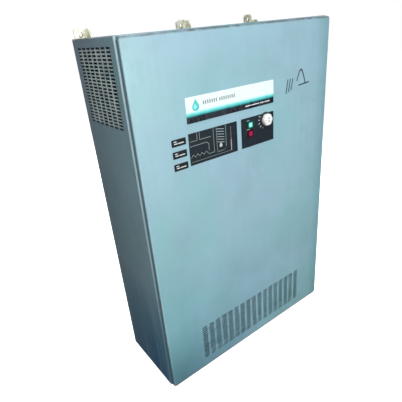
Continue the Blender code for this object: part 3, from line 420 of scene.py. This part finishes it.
def nameplate_print(low, high):
    """White above, a turquoise band that fades upward, and a black stripe along the bottom."""
    look = Look("nameplate_print", 0.30, Specular_IOR_Level=0.4)
    level = look.span(look.axis("z"), low.z, high.z)
    bands = look.ramp(level, [(0.0, (0.016, 0.018, 0.026)), (0.215, (0.012, 0.020, 0.030)),
                              (0.240, (0.008, 0.100, 0.120)), (0.290, (0.050, 0.480, 0.470)),
                              (0.390, (0.300, 0.860, 0.820)), (0.440, (0.800, 0.920, 0.920))])
    haze = look.noise(60.0, 4.0, 0.6)
    bands = look.mix(look.span(haze, 0.5, 0.85, 0.0, 0.12), bands, (0.45, 0.47, 0.45))
    look.set("Base Color", bands)
    look.set("Roughness", look.span(look.noise(35.0, 4.0), 0.3, 0.7, 0.20, 0.38))
    look.bump(look.noise(900.0, 2.0), 0.05, 0.0001)
    return look.material


def printed_black(name, colour=(0.014, 0.022, 0.030)):
    """Black printed film with a matt texture, dust and faint scratches."""
    look = Look(name, 0.42, Specular_IOR_Level=0.18)
    dust = look.noise(130.0, 4.0, 0.65)
    tint = look.mix(look.span(dust, 0.45, 0.85, 0.0, 0.22), colour, (0.06, 0.075, 0.08))
    scratch = look.noise(70.0, 2.0, 0.5, stretch=(0.6, 1.0, 14.0))
    look.set("Base Color", look.mix(look.span(scratch, 0.70, 0.76, 0.0, 0.35), tint, (0.16, 0.17, 0.18)))
    look.set("Roughness", look.span(dust, 0.3, 0.7, 0.28, 0.46))
    look.bump(look.noise(1500.0, 2.0), 0.10, 0.0001)
    return look.material


def ink(name, colour):
    """Printed ink, a little worn, with darker specks."""
    look = Look(name, 0.45)
    worn = look.noise(500.0, 3.0, 0.6)
    look.set("Base Color", look.mix(look.span(worn, 0.55, 0.8, 0.0, 0.35), colour, shade(colour, 0.55)))
    look.bump(worn, 0.05, 0.0001)
    return look.material


def lens(name, centre, core, body, rim, glow, squareness):
    """A tinted lens, brightest over the lamp behind its middle and dark at the rim."""
    look = Look(name, 0.16, Coat_Weight=0.15, Coat_Roughness=0.05, Specular_IOR_Level=0.25)
    x, z = look.apart(look.axis("x"), centre.x), look.apart(look.axis("z"), centre.z)
    far = look.math("ADD", look.times(look.math("MAXIMUM", x, z), squareness),
                    look.times(look.length(x, z), 1.0 - squareness))
    away = look.span(far, 0.0, 0.010)
    ribs = look.node("ShaderNodeTexWave", {"Vector": look.place, "Scale": 160.0}, output=1,
                     bands_direction="X")
    tint = look.ramp(away, [(0.0, core), (0.42, core), (0.60, body), (0.82, rim), (1.0, rim)])
    look.set("Base Color", look.mix(look.times(ribs, 0.25), tint, rim))
    look.set("Emission Color", tint)
    look.set("Emission Strength", glow)
    look.bump(ribs, 0.2, 0.0002)
    return look.material


# ---- dressing the CAD nodes --------------------------------------------------------------------
def dress(names, look, smooth=FLAT_SMOOTH):
    """Give CAD nodes a material and smooth normals."""
    for name in names:
        node = NODES[name]
        node.data.materials.clear()
        node.data.materials.append(look)
        soften(node, smooth)


def soften(node, angle):
    """Smooth normals over bends and round faces, while large flat faces keep their own normal."""
    mesh = node.data
    mesh.shade_smooth()
    planes = {}
    keys = []
    for face in mesh.polygons:
        normal = face.normal
        key = (*(round(c, 2) for c in normal), round(normal.dot(face.center), 4))
        planes[key] = planes.get(key, 0.0) + face.area
        keys.append(key)
    around = {}
    for face, key in zip(mesh.polygons, keys):
        for index in face.vertices:
            place = tuple(round(c, 5) for c in mesh.vertices[index].co)
            around.setdefault(place, {})[key] = face.normal
    limit = math.cos(math.radians(angle))
    normals = []
    for face in mesh.polygons:
        for index in face.vertices:
            place = tuple(round(c, 5) for c in mesh.vertices[index].co)
            total = Vector()
            for key, normal in around[place].items():
                if normal.dot(face.normal) > limit:
                    total += normal * planes[key] ** 2
            normals.append(total.normalized() if total.length else face.normal)
    mesh.normals_split_custom_set(normals)


def dress_nodes():
    dress(["front_cover"], paint("cover_paint", COVER_BLUE, 0.34, 0.6, edges=cover_edges))
    dress(["left_side_panel", "right_side_panel"],
          paint("panel_paint", SIDE_BLUE, 0.40, 0.9, seed=11.0, edges=panel_edges))
    dress(["top_panel", "back_panel", "base_pan"],
          paint("cabinet_paint", SIDE_BLUE, 0.42, 0.9, seed=17.0))
    for side in ("left", "centre", "right"):
        name = f"hanging_bracket_{side}"
        dress([name], zinc_yellow(name + "_zinc", *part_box(name)))
    dress(["nameplate"], nameplate_print(*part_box("nameplate")))
    dress(["flow_diagram_plate", "control_plate"], printed_black("plate_print"))
    dress(["small_label_upper", "small_label_middle", "small_label_lower"],
          printed_black("label_print", (0.012, 0.013, 0.015)))
    green, red = "green_indicator_lamp", "red_indicator_lamp"
    dress([green], lens(green + "_glass", middle(green), (0.26, 0.82, 0.66), (0.03, 0.26, 0.20),
                        (0.003, 0.05, 0.04), glow=0.45, squareness=0.7))
    dress([red], lens(red + "_glass", middle(red), (0.36, 0.016, 0.065), (0.22, 0.010, 0.040),
                      (0.04, 0.006, 0.012), glow=0.10, squareness=0.1))
    dress(["switch_collar", "compressor_contactor", "fan_housing", "fan_rotor", "cable_gland",
           "compressor_terminal_cover"], plain_plastic("black_plastic", (0.018, 0.018, 0.020)))
    dress(["switch_knob", "switch_body", "drain_float", "terminal_block", "condensate_drain_tube"],
          plain_plastic("white_plastic", (0.80, 0.81, 0.78), 0.35))
    dress(["drain_cock_handle"], plain_plastic("red_plastic", (0.45, 0.03, 0.02), 0.35))
    dress(["compressor_shell", "compressor_foot_plate", "suction_accumulator", "fan_motor"],
          plain_plastic("black_enamel", (0.016, 0.016, 0.018), 0.30))
    dress([n for n in NODES if n.startswith("compressor_rubber_mount")], rubber())
    dress(["insulation_jacket"], foam())
    dress(["filter_drier", "condenser_tube", "discharge_line", "liquid_line", "capillary_tube",
           "suction_line", "evaporator_coil", "air_inlet_pipe", "air_outlet_pipe"],
          metal("copper", (0.82, 0.43, 0.26), 0.24, (0.22, 0.10, 0.06), 0.45), ROUND_SMOOTH)
    dress(["hot_gas_bypass_valve", "air_inlet_port", "air_outlet_port", "drain_cock_body"],
          metal("brass", (0.80, 0.60, 0.28), 0.26, (0.30, 0.20, 0.08), 0.40), ROUND_SMOOTH)
    dress(["condenser_core", "separator_head", "separator_bowl"],
          metal("aluminium", (0.72, 0.73, 0.74), 0.34, (0.35, 0.35, 0.34), 0.35))
    dress(["exchanger_vessel", "lower_exchanger_clamp", "upper_exchanger_clamp", "fan_spider",
           "wiring_box", "wiring_box_cover"], galvanised())


# ---- pieces ------------------------------------------------------------------------------------
def finished(bm, name):
    mesh = bpy.data.meshes.new(name)
    bm.to_mesh(mesh)
    bm.free()
    return mesh


def piece(name, bm, look, body, smooth):
    """A new piece of the visual model, which rides on a body."""
    mesh = finished(bm, name)
    item = bpy.data.objects.new(name, mesh)
    bpy.context.scene.collection.objects.link(item)
    mesh.materials.append(look)
    if smooth:
        mesh.shade_smooth()
        mesh.set_sharp_from_angle(angle=math.radians(FLAT_SMOOTH))
    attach(item, body)
    return item


def solid(name, bm, look, body="cabinet", smooth=True):
    """A piece of closed bodies, whose faces are turned outwards."""
    bmesh.ops.recalc_face_normals(bm, faces=bm.faces)
    return piece(name, bm, look, body, smooth)


def printed(name, shapes, out, look, body):
    """Flat printed shapes, each a list of corners, that face along out."""
    bm = bmesh.new()
    for corners in shapes:
        bm.faces.new([bm.verts.new(corner) for corner in corners])
    for face in bm.faces:
        face.normal_update()
        if face.normal.dot(out) < 0:
            face.normal_flip()
    piece(name, bm, look, body, smooth=False)


def front_print(name, outlines, y, look, body="cover"):
    """Printed shapes that face the front, each outline a list of (x, z) points."""
    shapes = [[(x, y, z) for x, z in outline] for outline in outlines]
    printed(name, shapes, Vector((0, -1, 0)), look, body)


def side_print(name, outlines, x, look):
    """Printed shapes on the right side panel, each outline a list of (y, z) points."""
    shapes = [[(x, y, z) for y, z in outline] for outline in outlines]
    printed(name, shapes, Vector((1, 0, 0)), look, "cabinet")


def bar(x, z, length, height):
    """A printed bar that starts at x, centred on z."""
    half = height / 2
    return [(x, z - half), (x + length, z - half), (x + length, z + half), (x, z + half)]


def stroke(points, width):
    """The outlines of a printed line through the points, one for each straight run."""
    outlines = []
    for a, b in zip(points, points[1:]):
        a, b = Vector(a), Vector(b)
        along = (b - a).normalized() * (width / 2)
        across = Vector((-along.y, along.x))
        outlines.append([tuple(p) for p in (a - along - across, b + along - across,
                                            b + along + across, a - along + across)])
    return outlines


def drop_outline(x, z, size, steps=28):
    """A plain water drop: a round bottom that narrows to a point."""
    outline = []
    for i in range(steps):
        angle = 2 * math.pi * i / steps
        lean = (1 + math.sin(angle)) / 2
        outline.append((x + 0.40 * size * math.cos(angle) * (1 - lean ** 2.2 * 0.98),
                        z - 0.10 * size + size * (0.40 * math.sin(angle) + 0.20 * lean ** 4)))
    return outline


def word_bars(x, z):
    """A row of plain upright bars in two groups, which stands in for a name."""
    bars, wide, tall, pitch, space = [], 0.0034, 0.0082, 0.0062, 0.0040
    for count in (7, 8):
        for _ in range(count):
            bars.append(bar(x, z, wide, tall))
            x += pitch
        x += space
    return bars


def nameplate_graphics():
    """A water drop, a row of bars for the name, and small bars on the black stripe."""
    low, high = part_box("nameplate")
    y = low.y - INK
    width, height = high.x - low.x, high.z - low.z
    x, z = low.x + 0.098 * width, low.z + 0.69 * height
    front_print("nameplate_drop", [drop_outline(x, z, 0.50 * height)], y,
                ink("ink_turquoise", (0.06, 0.56, 0.55)))
    front_print("nameplate_drop_shine", [drop_outline(x - 0.0014, z - 0.0030, 0.24 * height)], y - INK,
                ink("ink_pale_turquoise", (0.28, 0.84, 0.80)))
    front_print("nameplate_word_bars", word_bars(low.x + 0.172 * width, low.z + 0.700 * height), y,
                ink("ink_grey", (0.22, 0.26, 0.28)))
    small, x = [], low.x + 0.640 * width
    for length in (0.018, 0.026, 0.014, 0.018):
        small.append(bar(x, low.z + 0.130 * height, length, ROW))
        x += length + 0.0025
    front_print("nameplate_small_bars", small, y, ink("ink_white", (0.80, 0.84, 0.84)))


def diagram_graphics():
    """A generic flow diagram: two lines into a tall vessel with a coil and a drop."""
    low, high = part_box("flow_diagram_plate")
    width, height = high.x - low.x, high.z - low.z

    def line(points, width_factor=1.0):
        """A printed line through points given as parts of the plate's width and height."""
        places = [(low.x + u * width, low.z + v * height) for u, v in points]
        return stroke(places, DIAGRAM_LINE * width_factor)

    def show(name, outlines, look_name, colour):
        front_print(name, outlines, low.y - INK, ink(look_name, colour))

    pipes = line([(0.02, 0.75), (0.16, 0.75), (0.16, 0.97)])
    pipes += line([(0.21, 0.98), (0.21, 0.75), (0.43, 0.75)])
    pipes += line([(0.02, 0.60), (0.34, 0.61), (0.385, 0.55), (0.385, 0.33)])
    pipes += line([(0.02 + 0.043 * i, 0.33 if i % 2 else 0.24) for i in range(9)], 0.9)
    pipes += line([(0.37, 0.22), (0.49, 0.22)])
    pipes += line([(0.02, 0.10), (0.84, 0.10)], 0.7)
    for u in (0.49, 0.555):
        pipes += line([(u, 0.97), (u, 0.24)])
    show("diagram_lines", pipes, "ink_diagram", (0.30, 0.36, 0.35))
    coil = []
    for turn in range(6):
        v = 0.93 - 0.085 * turn
        coil += line([(0.575, v), (0.71, v - 0.055)], 1.3)
    show("diagram_coil", coil, "ink_coil", (0.36, 0.44, 0.46))
    bend = [math.radians(18 * i) for i in range(6)]
    shell = [(0.75, 0.97)] + [(0.75 - 0.10 * (1 - math.cos(a)), 0.28 - 0.09 * math.sin(a)) for a in bend]
    show("diagram_shell", line(shell + [(0.56, 0.19)], 2.2), "ink_shell", (0.13, 0.20, 0.18))
    drop = drop_outline(low.x + 0.635 * width, low.z + 0.40 * height, 0.013)
    show("diagram_drop", [drop], "ink_diagram_drop", (0.55, 0.62, 0.63))
    gauge = line([(0.86, 0.12), (0.86, 0.45)], 2.4) + line([(0.86, 0.45), (0.86, 0.88)], 0.8)
    show("diagram_gauge", gauge, "ink_gauge", (0.42, 0.40, 0.42))


def control_graphics():
    """A short bar over each lamp, and a scale of five marks left of the switch."""
    marks = []
    for lamp in ("green_indicator_lamp", "red_indicator_lamp"):
        low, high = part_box(lamp)
        marks.append(bar(low.x - 0.001, high.z + 0.0012, 0.0105, 0.0011))
    low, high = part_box("switch_collar")
    centre, radius = middle("switch_collar"), (high.x - low.x) / 2
    for angle in (math.radians(a) for a in (152, 176, 200, 224, 248)):
        marks += stroke([(centre.x + reach * math.cos(angle), centre.z + reach * math.sin(angle))
                         for reach in (radius + 0.0018, radius + 0.0046)], ROW)
    front_print("control_marks", marks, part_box("control_plate")[0].y - INK,
                ink("ink_control", (0.50, 0.58, 0.57)))


def label_graphics():
    """A short bar over a row of two on each small label."""
    bars = []
    for name in ("upper", "middle", "lower"):
        low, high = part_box(f"small_label_{name}")
        width, height = high.x - low.x, high.z - low.z
        bars.append(bar(low.x + 0.14 * width, low.z + 0.70 * height, 0.20 * width, ROW))
        for start, length in ((0.16, 0.24), (0.45, 0.40)):
            bars.append(bar(low.x + start * width, low.z + 0.40 * height, length * width, 0.0024))
    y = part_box("small_label_upper")[0].y - INK
    front_print("label_bars", bars, y, ink("ink_label", (0.62, 0.66, 0.66)))


def marker_strokes():
    """Plain strokes in worn marker pen, on the cover's upper right."""
    x, z, size = 0.44 * WIDTH - 0.133, 0.832 * HEIGHT, 0.050
    lines = []
    for i in range(3):
        start = x + 0.0095 * i
        lines += stroke([(start, z - (0.40 - 0.06 * i) * size), (start + 0.006, z + 0.24 * size)], MARKER)
    hook = [(x + 0.042 + 0.034 * t, z + size * (0.52 * math.sin(3.6 * t) + 0.12))
            for t in (i / 12 for i in range(13))]
    lines += stroke(hook, MARKER)
    lines += stroke([(x + 0.050, z - 0.14 * size), (x + 0.090, z - 0.08 * size)], MARKER)
    front_print("marker_strokes", lines, FRONT - INK, ink("ink_marker", (0.030, 0.060, 0.085)))


# ---- small fittings ----------------------------------------------------------------------------
def placed(place, axis):
    """A move to the place, with +Z turned to the axis."""
    turn = Vector(axis).to_track_quat("Z", "Y").to_matrix().to_4x4()
    return Matrix.Translation(Vector(place)) @ turn


def circle(bm, move, radius, height, steps, pull=1.0):
    """Vertices on a circle across the move's axis, with all but four pulled in by a factor."""
    ring = []
    for i in range(steps):
        reach = radius * (pull if i % (steps // 4) else 1.0)
        angle = 2 * math.pi * i / steps
        corner = Vector((reach * math.cos(angle), reach * math.sin(angle), height))
        ring.append(bm.verts.new(move @ corner))
    return ring


def add_bands(bm, rings):
    """The faces between each ring of vertices and the next; a ring of one is a tip."""
    for low, high in zip(rings, rings[1:]):
        steps = max(len(low), len(high))
        for i in range(steps):
            j = (i + 1) % steps
            if len(low) == 1:
                bm.faces.new((low[0], high[j], high[i]))
            elif len(high) == 1:
                bm.faces.new((low[i], low[j], high[0]))
            else:
                bm.faces.new((low[i], low[j], high[j], high[i]))


def add_lathe(bm, profile, place, axis, steps=16):
    """A round body from (radius, height) points, which start and end on the axis.

    A third value in a point pulls the ring in by that factor, but for four arms of a cross.
    """
    move = placed(place, axis)
    rings = []
    for radius, height, *pull in profile:
        if radius:
            rings.append(circle(bm, move, radius, height, steps, *pull))
        else:
            rings.append([bm.verts.new(move @ Vector((0.0, 0.0, height)))])
    add_bands(bm, rings)


def add_ring(bm, profile, place, axis, steps):
    """A round body with a hole: the closed (radius, height) profile never meets the axis."""
    move = placed(place, axis)
    rings = [circle(bm, move, radius, height, steps) for radius, height in profile]
    add_bands(bm, rings + rings[:1])


def add_box(bm, low, high):
    """An upright box between two corners."""
    corners = [bm.verts.new((x, y, z)) for x in (low[0], high[0]) for y in (low[1], high[1])
               for z in (low[2], high[2])]
    for face in ((0, 1, 3, 2), (4, 6, 7, 5), (0, 4, 5, 1), (2, 3, 7, 6), (0, 2, 6, 4), (1, 5, 7, 3)):
        bm.faces.new([corners[i] for i in face])


def add_screw(bm, place, axis, radius):
    """A pan head with a cross recess, on a washer."""
    washer, rim, crown, recess = 0.0006, 0.0012, 0.0023, 0.0011
    wide = radius * 1.45
    add_lathe(bm, [(0, 0.0), (wide, 0.0), (wide, washer), (0, washer)], place, axis)
    add_lathe(bm, [(0, washer), (radius, washer), (radius, rim), (radius * 0.88, 0.0019),
                   (radius * 0.66, crown), (radius * 0.54, crown, CROSS), (radius * 0.40, recess, CROSS),
                   (0, recess)], place, axis)


def add_hex(bm, place, axis, radius, height, bore=0.0):
    """A chamfered hexagon head or nut; a bore makes it a ring."""
    profile = [(radius, 0.0), (radius, height * 0.82), (radius * 0.86, height)]
    if bore:
        add_ring(bm, profile + [(bore, height), (bore, 0.0)], place, axis, 6)
    else:
        add_lathe(bm, [(0, 0.0)] + profile + [(0, height)], place, axis, 6)


def fastener_looks():
    return {"zinc": metal("zinc_plated", (0.62, 0.63, 0.64), 0.30, (0.30, 0.27, 0.20), 0.30),
            "black": plain_plastic("black_trim", (0.016, 0.016, 0.017), 0.45),
            "brass": metal("brass_hex", (0.78, 0.58, 0.27), 0.28, (0.30, 0.20, 0.08), 0.40),
            "white": plain_plastic("nylon", (0.72, 0.72, 0.68), 0.45)}


def box_fasteners(looks):
    """Four screws hold the wiring box's cover, and each way of the terminal block has two."""
    low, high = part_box("wiring_box_cover")
    inset = 0.007
    bm = bmesh.new()
    for x in (low.x + inset, high.x - inset):
        for z in (low.z + inset, high.z - inset):
            add_screw(bm, (x, low.y - TOUCH, z), (0, -1, 0), COVER_SCREW)
    solid("wiring_box_screws", bm, looks["zinc"])
    low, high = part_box("terminal_block")
    inset, pitch = 0.008, (high.x - low.x) / TERMINAL_WAYS
    bm = bmesh.new()
    for way in range(TERMINAL_WAYS):
        for z in (low.z + inset, high.z - inset):
            add_screw(bm, (low.x + (way + 0.5) * pitch, low.y - TOUCH, z), (0, -1, 0), TERMINAL_SCREW)
    solid("terminal_screws", bm, looks["zinc"])


def compressor_fasteners(looks):
    """A washer, a nut and the end of a stud on each rubber mount, and the terminal cover's screw."""
    sheet, nut_radius, nut_height = 0.0012, 0.0058, 0.0045
    washer = [(0, 0.0), (0.0078, 0.0), (0.0078, sheet), (0, sheet)]
    stud = [(0, 0.0), (0.0029, 0.0), (0.0029, 0.0085), (0.0024, 0.0092), (0, 0.0092)]
    bm = bmesh.new()
    for number in range(1, 5):
        name = f"compressor_rubber_mount_{number}"
        centre, top = middle(name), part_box(name)[1].z + TOUCH
        add_lathe(bm, washer, (centre.x, centre.y, top), (0, 0, 1), steps=20)
        add_hex(bm, (centre.x, centre.y, top + sheet), (0, 0, 1), nut_radius, nut_height)
        add_lathe(bm, stud, (centre.x, centre.y, top), (0, 0, 1))
    solid("compressor_mount_nuts", bm, looks["zinc"])
    cover = "compressor_terminal_cover"
    bm = bmesh.new()
    add_screw(bm, (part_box(cover)[0].x - TOUCH, *middle(cover).yz), (-1, 0, 0), COVER_SCREW)
    solid("terminal_cover_screw", bm, looks["zinc"])


def fan_fasteners(looks):
    """Four screws through the ends of the spider's arms."""
    x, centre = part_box("fan_spider")[1].x + TOUCH, middle("fan_spider")
    bm = bmesh.new()
    for arm in range(4):
        angle = math.radians(45 + 90 * arm)
        add_screw(bm, (x, centre.y + SPIDER_REACH * math.cos(angle),
                       centre.z + SPIDER_REACH * math.sin(angle)), (1, 0, 0), FAN_SCREW)
    solid("fan_screws", bm, looks["zinc"])


def bracket_fasteners(looks):
    """Two rivets hold each bracket's tab to the back panel, below the top."""
    inset, rise, behind = 0.008, 0.010, 0.0031
    rivet = [(0, 0.0), (0.0034, 0.0), (0.0030, 0.0012), (0.0016, 0.0019), (0, 0.0020)]
    bm = bmesh.new()
    for side in ("left", "centre", "right"):
        low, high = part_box(f"hanging_bracket_{side}")
        for x in (low.x + inset, high.x - inset):
            add_lathe(bm, rivet, (x, high.y - behind, low.z + rise), (0, -1, 0))
    solid("bracket_rivets", bm, looks["zinc"])


def port_nuts(looks):
    """A hexagon nut clamps each air port, and the cable gland, to the outside of the panel."""
    bm = bmesh.new()
    for name in ("air_inlet_port", "air_outlet_port"):
        add_hex(bm, (SIDE + SEAT, *middle(name).yz), (1, 0, 0), *PORT_NUT)
    solid("port_nuts", bm, looks["brass"])
    bm = bmesh.new()
    add_hex(bm, (SIDE + SEAT, *middle("cable_gland").yz), (1, 0, 0), *GLAND_NUT)
    solid("gland_nut", bm, looks["black"])


def jacket_ties(looks):
    """Nylon ties that hold the foam jacket closed, each with the box of its ratchet in front."""
    low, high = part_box("insulation_jacket")
    centre, radius = middle("insulation_jacket"), (high.x - low.x) / 2
    inner, outer, half = radius + SEAT, radius + 0.0013, 0.0024
    band = [(inner, -half), (outer, -half), (outer, half), (inner, half)]
    bm = bmesh.new()
    for z in (low.z + 0.030, centre.z, high.z - 0.030):
        add_ring(bm, band, (centre.x, centre.y, z), (0, 0, 1), steps=40)
        add_box(bm, (centre.x - 0.003, centre.y - radius - 0.0050, z - 0.0035),
                (centre.x + 0.003, centre.y - radius - 0.0012, z + 0.0035))
    solid("jacket_ties", bm, looks["white"])


def rating_plate():
    """A foil plate with blank rows on the right side, and an arrow for each air port's direction."""
    x, y, z = SIDE + SEAT, -0.045, 0.600
    wide, tall, sheet = 0.070, 0.048, 0.0003
    bm = bmesh.new()
    add_box(bm, (x, y, z), (x + sheet, y + wide, z + tall))
    foil = metal("rating_foil", (0.66, 0.67, 0.68), 0.32, (0.40, 0.40, 0.38), 0.35, (1.0, 12.0, 1.0))
    solid("rating_plate", bm, foil, smooth=False)
    rows = []
    for row in range(5):
        level = z + 0.0075 + 0.0082 * row
        rows.append(bar(y + 0.005, level, 0.020, ROW))
        rows.append(bar(y + 0.031, level, 0.026 - 0.003 * (row % 3), ROW))
    dark = ink("ink_rating", (0.05, 0.055, 0.06))
    side_print("rating_rows", rows, x + sheet + INK, dark)
    half, stem, stem_width = 0.006, 0.012, 0.0036
    arrows = []
    for name, sign in (("air_inlet_port", -1.0), ("air_outlet_port", 1.0)):
        y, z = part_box(name)[0].y - 0.024, middle(name).z
        tail = y - half * sign
        arrows.append([(tail, z - half), (y + half * sign, z), (tail, z + half)])
        arrows.append(bar(min(tail, tail - stem * sign), z, stem, stem_width))
    side_print("port_arrows", arrows, SIDE + INK, dark)


def cover_gasket():
    """A foam strip inside the cover's edge."""
    y, wide = FRONT + 0.0019, GASKET_WIDTH
    right, bottom, top = WIDTH / 2 - GASKET_INSET, GASKET_INSET, HEIGHT - GASKET_INSET
    left = -right
    bm = bmesh.new()
    for low, high in (((left, bottom), (right, bottom + wide)), ((left, top - wide), (right, top)),
                      ((left, bottom + wide), (left + wide, top - wide)),
                      ((right - wide, bottom + wide), (right, top - wide))):
        add_box(bm, (low[0], y, low[1]), (high[0], y + GASKET_DEPTH, high[1]))
    solid("cover_gasket", bm, foam(), "cover", smooth=False)


def condenser_fins():
    """Thin black fins between two end plates; their black paint also serves as shade seen through the
    front slots.
    """
    low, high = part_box("condenser_core")
    first, last = low.x + 0.004, high.x - 0.004
    bm = bmesh.new()
    for i in range(int((last - first) / FIN_PITCH) + 1):
        x = first + i * FIN_PITCH
        add_box(bm, (x, low.y + FIN_INSET, FIN_Z[0]), (x + FIN_SHEET, high.y - FIN_INSET, FIN_Z[1]))
    for x in (low.x, high.x - END_PLATE):
        add_box(bm, (x, low.y, low.z), (x + END_PLATE, high.y, high.z))
    # black paint on the fins, which also serves as painted shade behind the front slots
    black = plain_plastic("condenser_black", (0.008, 0.020, 0.024), 0.6)
    fins = solid("condenser_fins", bm, black, smooth=False)
    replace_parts(fins, "condenser_core")


def knob():
    """A white knob with six lobes, and two grey ovals on its face that are painted shade for two
    recesses.
    """
    centre, face = middle("switch_knob"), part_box("switch_knob")[0].y
    x, z = centre.x, centre.z
    front, rear, steps = face + INK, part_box("switch_collar")[0].y - 0.0004, 72
    bm = bmesh.new()
    rings = []
    for y, grow in ((rear, 0.94), (rear - 0.0010, 1.0), (front + 0.0016, 0.985), (front + 0.0005, 0.945),
                    (front, 0.88)):
        ring = []
        for i in range(steps):
            angle = 2 * math.pi * i / steps
            dent = (0.5 + 0.5 * math.cos(KNOB_LOBES * (angle - math.radians(30)))) ** 3
            radius = KNOB_RADIUS * grow * (1.0 - 0.10 * dent)
            ring.append(bm.verts.new((x + radius * math.cos(angle), y, z + radius * math.sin(angle))))
        rings.append(ring)
    add_bands(bm, rings)
    for ring in (rings[0], rings[-1]):
        bm.faces.new(ring)
    white = plain_plastic("knob_white", (0.86, 0.87, 0.84), 0.38)
    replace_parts(solid("knob_lobed", bm, white, "knob"), "switch_knob")
    # the two grey ovals are painted shade standing in for two recesses; the bar is a printed pointer
    marks = []
    for up in (0.0038, -0.0036):
        marks.append([(x + 0.0012 + 0.0030 * math.cos(a), z + up + 0.0014 * math.sin(a))
                      for a in (2 * math.pi * i / 20 for i in range(20))])
    marks.append(bar(x - 0.0120, z, 0.0050, 0.0010))
    front_print("knob_marks", marks, face, ink("knob_print_and_recess_shade", (0.20, 0.22, 0.20)), "knob")


# ---- stage -------------------------------------------------------------------------------------
def floor():
    """A large pale floor, a little below the base so that the two never coincide."""
    bm = bmesh.new()
    bmesh.ops.create_grid(bm, x_segments=1, y_segments=1, size=9.0)
    item = bpy.data.objects.new("floor", finished(bm, "floor"))
    bpy.context.scene.collection.objects.link(item)
    look = Look("floor_paper", 0.85)
    pale = look.ramp(look.noise(1.5, 2.0), [(0.3, (0.93, 0.93, 0.93)), (0.7, (0.96, 0.96, 0.96))])
    look.set("Base Color", pale).set("Emission Color", pale).set("Emission Strength", 1.05)
    item.data.materials.append(look.material)
    item.location.z = -0.0005
    item.visible_diffuse = False
    item.visible_glossy = False


def softbox(name, place, target, side, power):
    data = bpy.data.lights.new(name, "AREA")
    data.shape = "RECTANGLE"
    data.size = data.size_y = side
    data.energy = power
    item = bpy.data.objects.new(name, data)
    item.location = place
    item.rotation_euler = (Vector(target) - Vector(place)).to_track_quat("-Z", "Y").to_euler()
    bpy.context.scene.collection.objects.link(item)


def light():
    """Six soft boxes in a world that is dim, but plain white to the camera."""
    world = bpy.data.worlds.new("studio")
    world.use_nodes = True
    tree = world.node_tree
    seen = tree.nodes.new("ShaderNodeLightPath").outputs["Is Camera Ray"]
    level = tree.nodes.new("ShaderNodeMapRange")
    level.inputs["To Min"].default_value = AMBIENT
    tree.links.new(seen, level.inputs["Value"])
    background = tree.nodes["Background"]
    background.inputs["Color"].default_value = (1.0, 1.0, 1.0, 1.0)
    tree.links.new(level.outputs[0], background.inputs["Strength"])
    bpy.context.scene.world = world
    for box in SOFTBOXES:
        softbox(*box)
    view = bpy.context.scene.view_settings
    view.view_transform = "Standard"
    view.look = "None"


def camera():
    """The viewpoint: left of the front, level with the top, looking down with a slight roll."""
    data = bpy.data.cameras.new("camera")
    item = bpy.data.objects.new("camera", data)
    bpy.context.scene.collection.objects.link(item)
    aim = Vector(CAMERA_AHEAD).to_track_quat("-Z", "Y").to_matrix()
    aim = aim @ Matrix.Rotation(math.radians(CAMERA_ROLL), 3, "Z")
    item.matrix_world = Matrix.Translation(Vector(CAMERA_PLACE)) @ aim.to_4x4()
    data.lens = CAMERA_LENS
    data.sensor_width = CAMERA_SENSOR
    data.shift_x = CAMERA_SHIFT
    bpy.context.scene.camera = item


dress_nodes()
nameplate_graphics()
diagram_graphics()
control_graphics()
label_graphics()
marker_strokes()
knob()
condenser_fins()
cover_gasket()
rating_plate()
fitting_looks = fastener_looks()
for fit in (box_fasteners, compressor_fasteners, fan_fasteners, bracket_fasteners, port_nuts,
            jacket_ties):
    fit(fitting_looks)
floor()
light()
camera()
